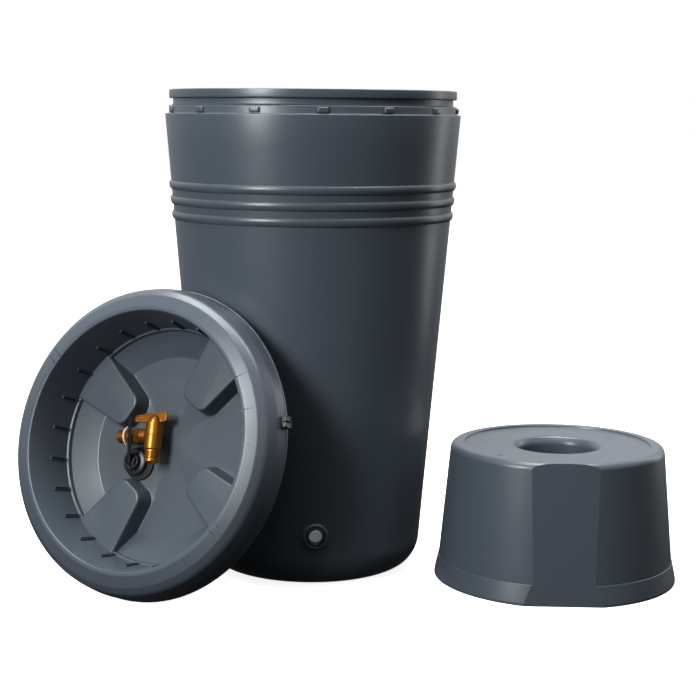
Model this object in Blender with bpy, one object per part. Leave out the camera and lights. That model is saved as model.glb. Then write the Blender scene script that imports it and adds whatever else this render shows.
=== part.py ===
"""Rain barrel set: open barrel, leaning dish lid with its tap and loose fittings, and round stand.

Metres, +Z up. The origin is the centre of the barrel's flat base, -Y is the front.
"""
from math import acos, cos, pi, radians, sin

import bmesh
import bpy
from mathutils import Matrix, Vector

# ---------------------------------------------------------------- driving dimensions
GAP = 0.0003                      # clearance between touching pieces
WALL = 0.0032                     # moulded wall of barrel, lid and stand
TURNS = 48                        # sides of the large turned shells
SMALL_TURNS = 20                  # sides of the small turned pieces

# barrel
BARREL_HEIGHT = 0.970
BASE_RADIUS = 0.170
HEEL_HEIGHT = 0.065               # height of the rounded heel above the base
WALL_RADIUS_AT_BASE = 0.2195      # straight taper, extended down to the base
TAPER = 0.0843                    # radius gained per metre of height
SHOULDER_Z = 0.9225
LUG_RING_RADIUS = 0.2895
LUG_RING_TOP = 0.9385
NECK_RADIUS = 0.2815
NECK_TOP = 0.9530
RIM_RADIUS = 0.2890
RIB_HEIGHTS = (0.7215, 0.7515, 0.7815)
RIB_HALF_HEIGHT = 0.0085
RIB_DEPTH = 0.0045
LUG_COUNT = 14
LUG_FIRST = radians(3.6)
LUG_SIZE = (0.024, 0.009, 0.009)  # along the rim, across it, up

# outlet near the barrel's foot, with a 3/4 inch thread
OUTLET_Z = 0.108
OUTLET_TURN = radians(2.2)        # from the front toward +X
OUTLET_BOSS_RADIUS = 0.0255
OUTLET_BOSS_DEPTH = 0.007
BUSH_RADIUS = 0.0175
BUSH_BORE = 0.0132
BUSH_LENGTH = 0.016
THREAD_RADIUS = 0.0132            # 26.4 mm over the crests

# lid, in its own frame: axis +Z out of the dish, z = 0 at the skirt's edge
SKIRT_RADIUS = 0.3027
RIDGE_RADIUS = 0.2574
RIDGE_Z = 0.0735
LIP_RADIUS = 0.2487
DISH_RADIUS = 0.2320
DISH_EDGE_Z = -0.0240
DISC_RADIUS = 0.1790
FLOOR_Z = -0.0570
SLOT_COUNT = 24
SLOT_FIRST = radians(13.5)
SLOT_SIZE = (0.012, 0.0039, 0.038)  # across the wall, along it, up it
SLOT_DEPTH = 0.0026               # from the wall's foot outward, so the slots stay blind
PAD_FIRST = radians(13.5 + 45)
PAD_TIP = 0.1060
PAD_OUTER_HALF = 0.0560
PAD_TIP_HALF = 0.0260
PAD_TOP_Z = -0.0210
PAD_FLARE = 0.0080
CLIP_TURN = radians(13.5)
LID_LEAN = radians(16.64)         # the dish faces this far above level
LID_TURN = radians(32.1)          # and this far from the front toward -X
LID_CENTRE_XY = (-0.3040, -0.2275)

# tap, in its own frame: body axis +Z, inlet along -X
TAP_PLACE = (-0.0205, 0.0169, -0.0224)   # in the lid's frame
TAP_TURN = radians(7.5)
TAP_DIP = radians(3.4)
TAP_ROLL = radians(-2.0)
TAP_RADIUS = 0.0170
TAP_TOP = 0.0260
TAP_SHOULDER = -0.0285
SPOUT_RADIUS = 0.0146
SPOUT_END = -0.0530
BORE_RADIUS = 0.0125
WATERWAY = 0.0080
INLET_END = 0.0840
WASHER_AT = 0.0600
WASHER_RADIUS = 0.0195
LEVER_THICKNESS = 0.0050
LEVER_LONG = 0.0495
LEVER_SHORT = 0.0285

# loose fittings in the dish, in the lid's frame
SEAL_PLACE = (-0.0665, -0.0400)
SEAL_RADIUS = 0.0330
SEAL_HEIGHT = 0.0060
NUT_PLACE = (-0.0735, -0.0380)
NUT_RADIUS = 0.0270
NUT_FLANGE = 0.0100
NUT_HUB_RADIUS = 0.0165
NUT_TOP_Z = -0.0320
KEY_TOP = (-0.0635, 0.0450, 0.0048)
KEY_BOTTOM = (-0.0725, -0.0470, -0.0268)
KEY_WIDTH = 0.0075
KEY_THICKNESS = 0.0030

# stand
STAND_PLACE = (0.4952, -0.1074)
STAND_HEIGHT = 0.2720
STAND_FOOT_RADIUS = 0.2430
STAND_FLANGE_TOP = 0.0400
STAND_WALL_FOOT = 0.2345
STAND_WALL_TOP = 0.2165
STAND_WALL_TOP_Z = 0.2350
STAND_RIM_RADIUS = 0.1900
STAND_PLATE_RADIUS = 0.1850
STAND_PLATE_Z = 0.2680
STAND_HOLE_RADIUS = 0.0790
STAND_FUNNEL_RADIUS = 0.0960
FLAT_TURN = radians(-3.5)         # the front flat, from -Y toward +X
FLAT_AT_FOOT = 0.2312             # distance of the flat from the axis at the floor
FLAT_AT_TOP = 0.2068              # and at the top of the wall


# ---------------------------------------------------------------- small helpers
def clear_scene():
    for item in list(bpy.data.objects):
        bpy.data.objects.remove(item, do_unlink=True)


def material(name, colour, roughness, metallic=0.0):
    made = bpy.data.materials.new(name)
    made.use_nodes = True
    shader = made.node_tree.nodes["Principled BSDF"]
    shader.inputs["Base Color"].default_value = (*colour, 1.0)
    shader.inputs["Roughness"].default_value = roughness
    shader.inputs["Metallic"].default_value = metallic
    return made


def add_object(name, mesh, finish=None, parent=None):
    made = bpy.data.objects.new(name, mesh)
    bpy.context.scene.collection.objects.link(made)
    if finish:
        mesh.materials.append(finish)
    made.parent = parent
    return made


def finished(bm, name):
    """Turn a bmesh into a mesh with outward faces and crisp edges over 35 degrees."""
    bmesh.ops.recalc_face_normals(bm, faces=bm.faces)
    mesh = bpy.data.meshes.new(name)
    bm.to_mesh(mesh)
    bm.free()
    mesh.shade_smooth()
    mesh.set_sharp_from_angle(angle=radians(35))
    return mesh


def even_angles(turns):
    return [2 * pi * step / turns for step in range(turns)]


def turned_mesh(name, profile, angles):
    """Spin a closed (r, z) profile about Z. A stretch along the axis itself makes no face."""
    bm = bmesh.new()
    rings = []
    for radius, z in profile:
        around_axis = angles if radius else angles[:1]
        rings.append([bm.verts.new((radius * cos(a), radius * sin(a), z)) for a in around_axis])
    for lower, upper in zip(rings, rings[1:] + rings[:1]):
        if len(lower) + len(upper) == 2:
            continue
        for step in range(len(angles)):
            after = (step + 1) % len(angles)
            corners = [lower[step % len(lower)], lower[after % len(lower)],
                       upper[after % len(upper)], upper[step % len(upper)]]
            bm.faces.new(list(dict.fromkeys(corners)))
    return finished(bm, name)


def turned(name, profile, finish, parent=None, turns=SMALL_TURNS):
    return add_object(name, turned_mesh(name, profile, even_angles(turns)), finish, parent)


def prism_mesh(name, outline, low, high, shrink=1.0):
    """Extrude an (x, y) outline between two heights, the upper end scaled about its centre."""
    bm = bmesh.new()
    middle = sum((Vector(point) for point in outline), Vector((0.0, 0.0))) / len(outline)
    lower = [bm.verts.new((x, y, low)) for x, y in outline]
    upper = [bm.verts.new((*(middle + shrink * (Vector(point) - middle)), high)) for point in outline]
    bm.faces.new(lower[::-1])
    bm.faces.new(upper)
    count = len(outline)
    for step in range(count):
        after = (step + 1) % count
        bm.faces.new((lower[step], lower[after], upper[after], upper[step]))
    return finished(bm, name)


def arc(centre, radius, start, stop, steps):
    """Points on an arc, both ends included."""
    angles = [start + (stop - start) * step / steps for step in range(steps + 1)]
    return [(centre[0] + radius * cos(a), centre[1] + radius * sin(a)) for a in angles]


def joined(name, pieces):
    """One mesh from (mesh, matrix) pairs whose solids don't touch."""
    bm = bmesh.new()
    for mesh, matrix in pieces:
        part = bmesh.new()
        part.from_mesh(mesh)
        part.transform(matrix)
        copy = bpy.data.meshes.new(name)
        part.to_mesh(copy)
        part.free()
        bm.from_mesh(copy)
    return finished(bm, name)


def cutter(name, mesh, parent=None):
    made = add_object(name, mesh, None, parent)
    made.hide_render = True
    made.display_type = "WIRE"
    return made


def boolean(target, tool, operation="DIFFERENCE"):
    step = target.modifiers.new(tool.name, "BOOLEAN")
    step.operation = operation
    step.object = tool


def axis_frame(name, matrix, parent=None):
    made = bpy.data.objects.new(name, None)
    bpy.context.scene.collection.objects.link(made)
    made.parent = parent
    made.matrix_local = matrix
    return made


def around(turn):
    return Matrix.Rotation(turn, 4, "Z")


# ---------------------------------------------------------------- barrel
def wall_radius(z):
    return WALL_RADIUS_AT_BASE + TAPER * z


def barrel_profile():
    """Outer profile from the base up to the rim, then the inside back down."""
    heel_width = wall_radius(HEEL_HEIGHT) - BASE_RADIUS
    outer = [(0.0, 0.0)]
    for step in range(6):
        angle = pi / 2 * step / 5
        outer.append((BASE_RADIUS + heel_width * sin(angle), HEEL_HEIGHT * (1 - cos(angle))))
    for z in RIB_HEIGHTS:
        for rise, share in ((-1.0, 0.0), (-0.55, 0.85), (0.55, 0.85), (1.0, 0.0)):
            height = z + rise * RIB_HALF_HEIGHT
            outer.append((wall_radius(height) + share * RIB_DEPTH, height))
    outer += [(wall_radius(SHOULDER_Z - 0.004), SHOULDER_Z - 0.004),
              (wall_radius(SHOULDER_Z) - 0.003, SHOULDER_Z),
              (LUG_RING_RADIUS, SHOULDER_Z + 0.0015),
              (LUG_RING_RADIUS, LUG_RING_TOP),
              (NECK_RADIUS, LUG_RING_TOP + 0.001),
              (NECK_RADIUS, NECK_TOP - 0.001),
              (RIM_RADIUS, NECK_TOP),
              (RIM_RADIUS, BARREL_HEIGHT - 0.002),
              (RIM_RADIUS - 0.002, BARREL_HEIGHT)]
    inner = [(NECK_RADIUS - WALL, BARREL_HEIGHT), (NECK_RADIUS - WALL, SHOULDER_Z - 0.003),
             (wall_radius(SHOULDER_Z - 0.015) - WALL, SHOULDER_Z - 0.015)]
    for step in range(4, -1, -1):
        angle = pi / 2 * step / 4
        inner.append((BASE_RADIUS + (heel_width - WALL) * sin(angle),
                      WALL + (HEEL_HEIGHT - WALL) * (1 - cos(angle))))
    inner.append((0.0, WALL))
    return outer + inner


def outlet_matrix():
    """Outlet frame: local +Z points out of the wall, square to its taper."""
    heading = around(OUTLET_TURN)
    lean = Matrix.Rotation(pi / 2, 4, "X")
    place = Matrix.Translation((0.0, -wall_radius(OUTLET_Z), OUTLET_Z))
    return heading @ place @ lean


def build_barrel(plastic, bush_plastic):
    barrel = turned("barrel_shell", barrel_profile(), plastic, turns=TURNS)
    lug_outline = [(-LUG_SIZE[0] / 2, -LUG_SIZE[1] / 2), (LUG_SIZE[0] / 2, -LUG_SIZE[1] / 2),
                   (LUG_SIZE[0] / 3, LUG_SIZE[1] / 2), (-LUG_SIZE[0] / 3, LUG_SIZE[1] / 2)]
    lug = prism_mesh("lug", lug_outline, 0.0, LUG_SIZE[2], 0.9)
    places = []
    for step in range(LUG_COUNT):
        turn = LUG_FIRST + 2 * pi * step / LUG_COUNT
        across = Matrix.Translation((0.0, LUG_RING_RADIUS - 0.0005, SHOULDER_Z + 0.004))
        places.append((lug, around(turn + pi) @ across))
    boolean(barrel, cutter("cut_lugs", joined("cut_lugs", places)), "UNION")

    frame = outlet_matrix()
    boss = turned_mesh("cut_boss", [(0.0, -0.002), (OUTLET_BOSS_RADIUS, -0.002),
                                    (OUTLET_BOSS_RADIUS - 0.001, OUTLET_BOSS_DEPTH - 0.002),
                                    (OUTLET_BOSS_RADIUS - 0.003, OUTLET_BOSS_DEPTH),
                                    (0.0, OUTLET_BOSS_DEPTH)], even_angles(SMALL_TURNS))
    boss_tool = cutter("cut_boss", boss)
    boss_tool.matrix_local = frame
    boolean(barrel, boss_tool, "UNION")
    bore = turned_mesh("cut_bore", [(0.0, -0.030), (BUSH_RADIUS + GAP, -0.030),
                                    (BUSH_RADIUS + GAP, 0.030), (0.0, 0.030)],
                       even_angles(SMALL_TURNS))
    bore_tool = cutter("cut_bore", bore)
    bore_tool.matrix_local = frame
    boolean(barrel, bore_tool)

    front = OUTLET_BOSS_DEPTH + 0.001
    bush = turned("outlet_bush", [(BUSH_BORE, front), (BUSH_RADIUS - 0.001, front),
                                  (BUSH_RADIUS, front - 0.001), (BUSH_RADIUS, front - BUSH_LENGTH),
                                  (BUSH_BORE, front - BUSH_LENGTH)], bush_plastic)
    bush.matrix_local = frame


# ---------------------------------------------------------------- lid
def lid_matrix():
    """Lid frame in the world: its +Z leaves the dish, forward, to the left and up."""
    out = Vector((-sin(LID_TURN) * cos(LID_LEAN), -cos(LID_TURN) * cos(LID_LEAN), sin(LID_LEAN)))
    level = Vector((0.0, 0.0, 1.0)).cross(out).normalized()
    upward = out.cross(level)
    matrix = Matrix((level, upward, out)).transposed().to_4x4()
    matrix.translation = (*LID_CENTRE_XY, SKIRT_RADIUS * cos(LID_LEAN))
    return matrix


def lid_profile():
    """The top skin from the skirt's edge to the middle of the floor, then the underside back."""
    top = [(SKIRT_RADIUS, 0.0), (0.3015, 0.020), (0.2985, 0.036), (0.2925, 0.050), (0.2800, 0.0625),
           (RIDGE_RADIUS + 0.009, 0.0710), (RIDGE_RADIUS, RIDGE_Z), (LIP_RADIUS + 0.003, RIDGE_Z),
           (LIP_RADIUS, RIDGE_Z - 0.004), (DISH_RADIUS, DISH_EDGE_Z), (0.2285, DISH_EDGE_Z - 0.001),
           (0.2270, DISH_EDGE_Z - 0.008), (DISC_RADIUS + 0.003, FLOOR_Z + 0.005),
           (DISC_RADIUS, FLOOR_Z), (0.0, FLOOR_Z)]
    under = [(0.0, FLOOR_Z - WALL), (DISC_RADIUS + 0.001, FLOOR_Z - WALL),
             (DISC_RADIUS + 0.004, FLOOR_Z + 0.005 - WALL), (0.2295, DISH_EDGE_Z - 0.0112),
             (0.2330, DISH_EDGE_Z - 0.005), (DISH_RADIUS + WALL, DISH_EDGE_Z),
             (LIP_RADIUS + WALL, RIDGE_Z - 0.0055), (RIDGE_RADIUS, RIDGE_Z - WALL),
             (RIDGE_RADIUS + 0.008, 0.0680), (0.2780, 0.0595), (0.2900, 0.0475),
             (0.2955, 0.0350), (0.2984, 0.0200), (SKIRT_RADIUS - WALL, 0.0)]
    return top + under


def below_profile():
    """Space just under the dish, where no pad may stick out."""
    low = FLOOR_Z - WALL - GAP
    return [(0.0, low), (DISC_RADIUS + 0.001, low), (DISC_RADIUS + 0.004, low + 0.005),
            (0.2297, DISH_EDGE_Z - 0.0115), (0.2345, DISH_EDGE_Z - 0.0050), (0.2600, DISH_EDGE_Z - 0.0050),
            (0.2600, -0.1000), (0.0, -0.1000)]


def pad_outline(grow, outer):
    """Wedge with a rounded tip, pointing along -X, its outer end at radius outer."""
    tip = PAD_TIP - grow
    corner = 0.016 + grow
    half = PAD_TIP_HALF + grow
    slope = (PAD_OUTER_HALF - PAD_TIP_HALF) / (DISH_RADIUS - PAD_TIP)
    end_half = half + slope * (outer - tip - corner)
    lower = arc((tip + corner, -half + corner), corner, pi, 3 * pi / 2 - 0.2, 4)
    upper = arc((tip + corner, half - corner), corner, pi / 2 + 0.2, pi, 4)
    return [(outer, end_half)] + upper + lower + [(outer, -end_half)]


def pad_mesh(name, grow_low, grow_high, outer, low, high):
    """A pad whose foot and top have different sizes, so that its side leans."""
    bm = bmesh.new()
    foot = [bm.verts.new((x, y, low)) for x, y in pad_outline(grow_low, outer)]
    head = [bm.verts.new((x, y, high)) for x, y in pad_outline(grow_high, outer)]
    bm.faces.new(foot[::-1])
    bm.faces.new(head)
    for step in range(len(foot)):
        after = (step + 1) % len(foot)
        bm.faces.new((foot[step], foot[after], head[after], head[step]))
    return finished(bm, name)


def four_pads(name, mesh):
    return joined(name, [(mesh, around(PAD_FIRST + step * pi / 2)) for step in range(4)])


def lid_shell(plastic, frame):
    """Dish, rolled lip and skirt in one moulding, with hollow pads and slots in its wall."""
    lid = turned("lid_shell", lid_profile(), plastic, frame, TURNS)
    raised = pad_mesh("pad", PAD_FLARE, 0.0, DISH_RADIUS + 0.0015, FLOOR_Z - 0.0015, PAD_TOP_Z)
    hollow = pad_mesh("pad_hollow", PAD_FLARE - WALL, -WALL, DISH_RADIUS - 0.004,
                      FLOOR_Z - 0.012, PAD_TOP_Z - WALL)
    boolean(lid, cutter("cut_pads", four_pads("cut_pads", raised), frame), "UNION")
    below = turned_mesh("cut_below", below_profile(), even_angles(TURNS))
    boolean(lid, cutter("cut_below", below, frame))
    boolean(lid, cutter("cut_pad_hollows", four_pads("cut_pad_hollows", hollow), frame))

    box = prism_mesh("slot", [(-SLOT_SIZE[0] / 2, -SLOT_SIZE[1] / 2), (SLOT_SIZE[0] / 2, -SLOT_SIZE[1] / 2),
                              (SLOT_SIZE[0] / 2, SLOT_SIZE[1] / 2), (-SLOT_SIZE[0] / 2, SLOT_SIZE[1] / 2)],
                     0.0, SLOT_SIZE[2])
    lean = Matrix.Rotation((LIP_RADIUS - DISH_RADIUS) / (RIDGE_Z - DISH_EDGE_Z), 4, "Y")
    slots = []
    for step in range(SLOT_COUNT):
        place = Matrix.Translation((DISH_RADIUS + SLOT_DEPTH - SLOT_SIZE[0] / 2, 0.0, DISH_EDGE_Z + 0.004))
        slots.append((box, around(SLOT_FIRST + 2 * pi * step / SLOT_COUNT) @ place @ lean))
    boolean(lid, cutter("cut_slots", joined("cut_slots", slots), frame))
    return lid


def lid_clip(plastic, frame):
    """Slotted latch tab that hugs the skirt's edge."""
    inner = SKIRT_RADIUS + GAP
    bm = bmesh.new()
    section = [(inner, 0.001), (inner + 0.010, 0.001), (inner + 0.010, 0.022), (inner - 0.0008, 0.022)]
    half = 0.012 / SKIRT_RADIUS
    ends = []
    for step in range(5):
        turn = CLIP_TURN - half + 2 * half * step / 4
        ends.append([bm.verts.new((r * cos(turn), r * sin(turn), z)) for r, z in section])
    for left, right in zip(ends, ends[1:]):
        for corner in range(4):
            after = (corner + 1) % 4
            bm.faces.new((left[corner], left[after], right[after], right[corner]))
    bm.faces.new(ends[0][::-1])
    bm.faces.new(ends[-1])
    clip = add_object("lid_clip", finished(bm, "lid_clip"), plastic, frame)
    slot = prism_mesh("cut_clip_slot", [(0.004, -0.0015), (0.0105, -0.0015), (0.0105, 0.0015),
                                        (0.004, 0.0015)], -0.002, 0.016)
    tool = cutter("cut_clip_slot", slot, frame)
    tool.matrix_local = around(CLIP_TURN) @ Matrix.Translation((inner, 0.0, 0.0))
    boolean(clip, tool)


# ---------------------------------------------------------------- tap
def tap_matrix():
    place = Matrix.Translation(TAP_PLACE)
    return (place @ around(TAP_TURN) @ Matrix.Rotation(-(pi / 2 + TAP_DIP), 4, "X")
            @ Matrix.Rotation(TAP_ROLL, 4, "Z"))


INLET_AXIS = Matrix.Rotation(-pi / 2, 4, "Y")     # turns local +Z onto -X


def build_tap(bronze, cream, frame):
    body = turned("tap_body", [(BORE_RADIUS + GAP, TAP_TOP), (TAP_RADIUS - 0.001, TAP_TOP),
                               (TAP_RADIUS, TAP_TOP - 0.001), (TAP_RADIUS, TAP_SHOULDER + 0.002),
                               (TAP_RADIUS - 0.002, TAP_SHOULDER),
                               (SPOUT_RADIUS - 0.004 + GAP, TAP_SHOULDER),
                               (SPOUT_RADIUS - 0.004 + GAP, -0.0165), (BORE_RADIUS + GAP, -0.0165)],
                  bronze, frame)
    stub = turned_mesh("cut_stub", [(0.0, 0.0140), (0.0125, 0.0140), (0.0125, 0.0200),
                                    (0.0140, 0.0205), (0.0140, 0.0290), (0.0, 0.0290)],
                       even_angles(SMALL_TURNS))
    stub_tool = cutter("cut_stub", stub, frame)
    stub_tool.matrix_local = INLET_AXIS
    boolean(body, stub_tool, "UNION")
    way = turned_mesh("cut_way", [(0.0, 0.0), (WATERWAY, 0.0), (WATERWAY, 0.0200),
                                  (0.0105, 0.0200), (0.0105, 0.0300), (0.0, 0.0300)],
                      even_angles(SMALL_TURNS))
    way_tool = cutter("cut_way", way, frame)
    way_tool.matrix_local = INLET_AXIS
    boolean(body, way_tool)

    rings = [(WATERWAY, TAP_SHOULDER + 0.010), (SPOUT_RADIUS - 0.004, TAP_SHOULDER + 0.010),
             (SPOUT_RADIUS - 0.004, TAP_SHOULDER - GAP), (SPOUT_RADIUS, TAP_SHOULDER - GAP)]
    for step in range(3):
        z = TAP_SHOULDER - 0.005 - 0.0045 * step
        rings += [(SPOUT_RADIUS, z), (SPOUT_RADIUS - 0.0009, z - 0.001),
                  (SPOUT_RADIUS - 0.0009, z - 0.002), (SPOUT_RADIUS, z - 0.003)]
    rings += [(SPOUT_RADIUS, SPOUT_END + 0.001), (SPOUT_RADIUS - 0.001, SPOUT_END), (WATERWAY, SPOUT_END)]
    turned("spout_tail", rings[::-1], bronze, frame)

    # threaded tail with its hexagon, pushed into the body's stub
    tail = turned("inlet_tail", [(0.0075, 0.0205), (0.0102, 0.0205), (0.0102, 0.0293), (0.0118, 0.0293),
                                 (0.0118, 0.0430), (THREAD_RADIUS, 0.0430), (THREAD_RADIUS, INLET_END - 0.002),
                                 (THREAD_RADIUS - 0.002, INLET_END), (0.0095, INLET_END),
                                 (0.0095, 0.040)], bronze, frame)
    tail.matrix_local = INLET_AXIS
    nut_outline = arc((0.0, 0.0), 0.0160, pi / 6, pi / 6 + 2 * pi, 6)[:-1]
    hexagon = add_object("inlet_hex", prism_mesh("inlet_hex", nut_outline, 0.0300, 0.0415), bronze, frame)
    hexagon.matrix_local = INLET_AXIS
    hole = cutter("cut_hex", turned_mesh("cut_hex", [(0.0, 0.020), (0.0118 + GAP, 0.020),
                                                     (0.0118 + GAP, 0.050), (0.0, 0.050)],
                                           even_angles(SMALL_TURNS)), frame)
    hole.matrix_local = INLET_AXIS
    boolean(hexagon, hole)

    bore = THREAD_RADIUS + GAP
    washer = turned("inlet_washer", [(bore, WASHER_AT), (WASHER_RADIUS, WASHER_AT),
                                     (WASHER_RADIUS, WASHER_AT + 0.003), (bore, WASHER_AT + 0.003)],
                    cream, frame)
    washer.matrix_local = INLET_AXIS


def build_valve(bronze, rubber, frame):
    """Plug, its two rings and the wing lever, all turning about the body's axis."""
    groove = 0.0020
    plug = turned("valve_plug", [(0.0, -0.0160), (BORE_RADIUS, -0.0160), (BORE_RADIUS, -0.0125),
                                 (BORE_RADIUS - groove, -0.0125), (BORE_RADIUS - groove, -0.0100),
                                 (BORE_RADIUS, -0.0100), (BORE_RADIUS, 0.0120),
                                 (BORE_RADIUS - groove, 0.0120), (BORE_RADIUS - groove, 0.0145),
                                 (BORE_RADIUS, 0.0145), (BORE_RADIUS, TAP_TOP - 0.001), (0.0, TAP_TOP - 0.001)],
                  bronze, frame)
    way = turned_mesh("cut_plug_way", [(0.0, -0.020), (WATERWAY - 0.001, -0.020), (WATERWAY - 0.001, 0.020),
                                       (0.0, 0.020)], even_angles(16))
    tool = cutter("cut_plug_way", way, frame)
    tool.matrix_local = Matrix.Rotation(pi / 2, 4, "X")
    boolean(plug, tool)
    for name, low in (("plug_seal_lower", -0.0125), ("plug_seal_upper", 0.0120)):
        inner = BORE_RADIUS - groove + GAP / 2
        turned(name, [(inner, low + GAP), (BORE_RADIUS - GAP / 2, low + GAP), (BORE_RADIUS - GAP / 2, low + 0.0022),
                      (inner, low + 0.0022)], rubber, frame)

    base = TAP_TOP + GAP
    turned("lever_cap", [(0.0, base), (0.0128, base), (0.0128, base + 0.003), (0.0115, base + 0.0075),
                         (0.0085, base + 0.0110), (0.0045, base + 0.0130), (0.0, base + 0.0135)], bronze, frame)
    lever = add_object("tap_lever", blade_mesh("tap_lever", lever_outline(), LEVER_THICKNESS), bronze, frame)
    boolean(lever, cutter("cut_lever_hub", turned_mesh("cut_lever_hub", [
        (0.0, base - 0.002), (0.0131, base - 0.002), (0.0131, base + 0.0033), (0.0118, base + 0.0078),
        (0.0088, base + 0.0113), (0.0048, base + 0.0133), (0.0, base + 0.0138)],
        even_angles(SMALL_TURNS)), frame))
    hole = cutter("cut_lever_hole", turned_mesh("cut_lever_hole", [
        (0.0, -0.010), (0.0016, -0.010), (0.0016, 0.010), (0.0, 0.010)], even_angles(12)), frame)
    at_hole = Matrix.Translation((-LEVER_LONG + 0.006, 0.0, base + 0.0095))
    hole.matrix_local = at_hole @ Matrix.Rotation(pi / 2, 4, "X")
    boolean(lever, hole)


def lever_outline():
    """The wing seen from the front: a narrow end over the inlet, a wide end over the other side."""
    low = TAP_TOP + 2 * GAP
    left = arc((-LEVER_LONG + 0.006, low + 0.0095), 0.006, 3 * pi / 2, pi / 2, 5)
    right = arc((LEVER_SHORT - 0.0095, low + 0.0100), 0.0095, pi / 2, -pi / 2, 6)
    return left + right


def blade_mesh(name, outline, thickness):
    bm = bmesh.new()
    front = [bm.verts.new((x, -thickness / 2, z)) for x, z in outline]
    back = [bm.verts.new((x, thickness / 2, z)) for x, z in outline]
    bm.faces.new(front)
    bm.faces.new(back[::-1])
    for step in range(len(outline)):
        after = (step + 1) % len(outline)
        bm.faces.new((front[step], back[step], back[after], front[after]))
    return finished(bm, name)


# ---------------------------------------------------------------- loose fittings
def build_fittings(black, rubber, frame):
    seal = turned("nut_seal", [(0.0135, FLOOR_Z + GAP), (SEAL_RADIUS, FLOOR_Z + GAP),
                               (SEAL_RADIUS, FLOOR_Z + SEAL_HEIGHT), (0.0135, FLOOR_Z + SEAL_HEIGHT)],
                  rubber, frame, 32)
    seal.matrix_local = Matrix.Translation((*SEAL_PLACE, 0.0))

    low = FLOOR_Z + SEAL_HEIGHT + GAP
    nut = turned("lock_nut", [(0.0132, low), (NUT_RADIUS - 0.001, low), (NUT_RADIUS, low + 0.002),
                              (NUT_RADIUS, low + NUT_FLANGE - 0.004), (NUT_RADIUS - 0.003, low + NUT_FLANGE - 0.002),
                              (NUT_HUB_RADIUS + 0.001, low + NUT_FLANGE), (NUT_HUB_RADIUS, NUT_TOP_Z - 0.002),
                              (NUT_HUB_RADIUS - 0.002, NUT_TOP_Z), (0.0132, NUT_TOP_Z)], black, frame, 32)
    nut.matrix_local = Matrix.Translation((*NUT_PLACE, 0.0))

    top, bottom = Vector(KEY_TOP), Vector(KEY_BOTTOM)
    run = top - bottom
    half_length = run.length / 2 - KEY_WIDTH / 2
    outline = (arc((half_length, 0.0), KEY_WIDTH / 2, -pi / 2, pi / 2, 5)
               + arc((-half_length, 0.0), KEY_WIDTH / 2, pi / 2, 3 * pi / 2, 5))
    key = add_object("fitting_key", prism_mesh("fitting_key", outline, -KEY_THICKNESS / 2, KEY_THICKNESS / 2),
                     black, frame)
    along = run.normalized()
    side = Vector((0.0, 0.0, 1.0)).cross(along).normalized()
    matrix = Matrix((along, side, along.cross(side))).transposed().to_4x4()
    matrix.translation = (top + bottom) / 2
    key.matrix_local = matrix


# ---------------------------------------------------------------- stand
def stand_outer():
    """Foot flange, leaning wall, rounded shoulder, raised rim, sunk plate and the funnel's mouth."""
    return [(STAND_FOOT_RADIUS, 0.0), (STAND_FOOT_RADIUS, 0.004),
            (STAND_WALL_FOOT + 0.004, STAND_FLANGE_TOP - 0.002), (STAND_WALL_FOOT, STAND_FLANGE_TOP),
            (STAND_WALL_TOP, STAND_WALL_TOP_Z), (STAND_WALL_TOP - 0.0035, STAND_WALL_TOP_Z + 0.016),
            (STAND_WALL_TOP - 0.0125, STAND_WALL_TOP_Z + 0.030),
            (STAND_RIM_RADIUS + 0.006, STAND_HEIGHT - 0.0010), (STAND_RIM_RADIUS, STAND_HEIGHT),
            (STAND_PLATE_RADIUS, STAND_PLATE_Z), (STAND_FUNNEL_RADIUS, STAND_PLATE_Z),
            (STAND_HOLE_RADIUS + 0.0100, STAND_PLATE_Z - 0.004),
            (STAND_HOLE_RADIUS + 0.0040, STAND_PLATE_Z - 0.011),
            (STAND_HOLE_RADIUS, STAND_PLATE_Z - 0.022), (STAND_HOLE_RADIUS, STAND_PLATE_Z - 0.045)]


def stand_inner():
    """The same wall from inside, from the funnel's lower edge back to the foot."""
    return [(STAND_HOLE_RADIUS + WALL, STAND_PLATE_Z - 0.045),
            (STAND_HOLE_RADIUS + WALL, STAND_PLATE_Z - 0.0225),
            (STAND_HOLE_RADIUS + 0.0070, STAND_PLATE_Z - 0.013),
            (STAND_HOLE_RADIUS + 0.0120, STAND_PLATE_Z - 0.0065),
            (STAND_FUNNEL_RADIUS + 0.001, STAND_PLATE_Z - WALL),
            (STAND_PLATE_RADIUS + 0.001, STAND_PLATE_Z - WALL),
            (STAND_RIM_RADIUS + 0.001, STAND_HEIGHT - WALL),
            (STAND_WALL_TOP - 0.0150, STAND_WALL_TOP_Z + 0.0275),
            (STAND_WALL_TOP - 0.0067, STAND_WALL_TOP_Z + 0.0150),
            (STAND_WALL_TOP - WALL, STAND_WALL_TOP_Z), (STAND_WALL_FOOT - WALL, STAND_FLANGE_TOP),
            (STAND_WALL_FOOT + 0.004 - WALL, STAND_FLANGE_TOP - 0.003),
            (STAND_FOOT_RADIUS - WALL, 0.004), (STAND_FOOT_RADIUS - WALL, 0.0)]


def flatten(verts, inset):
    """Press what stands outside the front and back flats back onto them."""
    slope = (FLAT_AT_FOOT - FLAT_AT_TOP) / STAND_WALL_TOP_Z
    for vert in verts:
        limit = FLAT_AT_FOOT - slope * vert.co.z - inset
        reach = abs(vert.co.y)
        if reach > limit:
            vert.co.x *= limit / reach
            vert.co.y *= limit / reach


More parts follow.
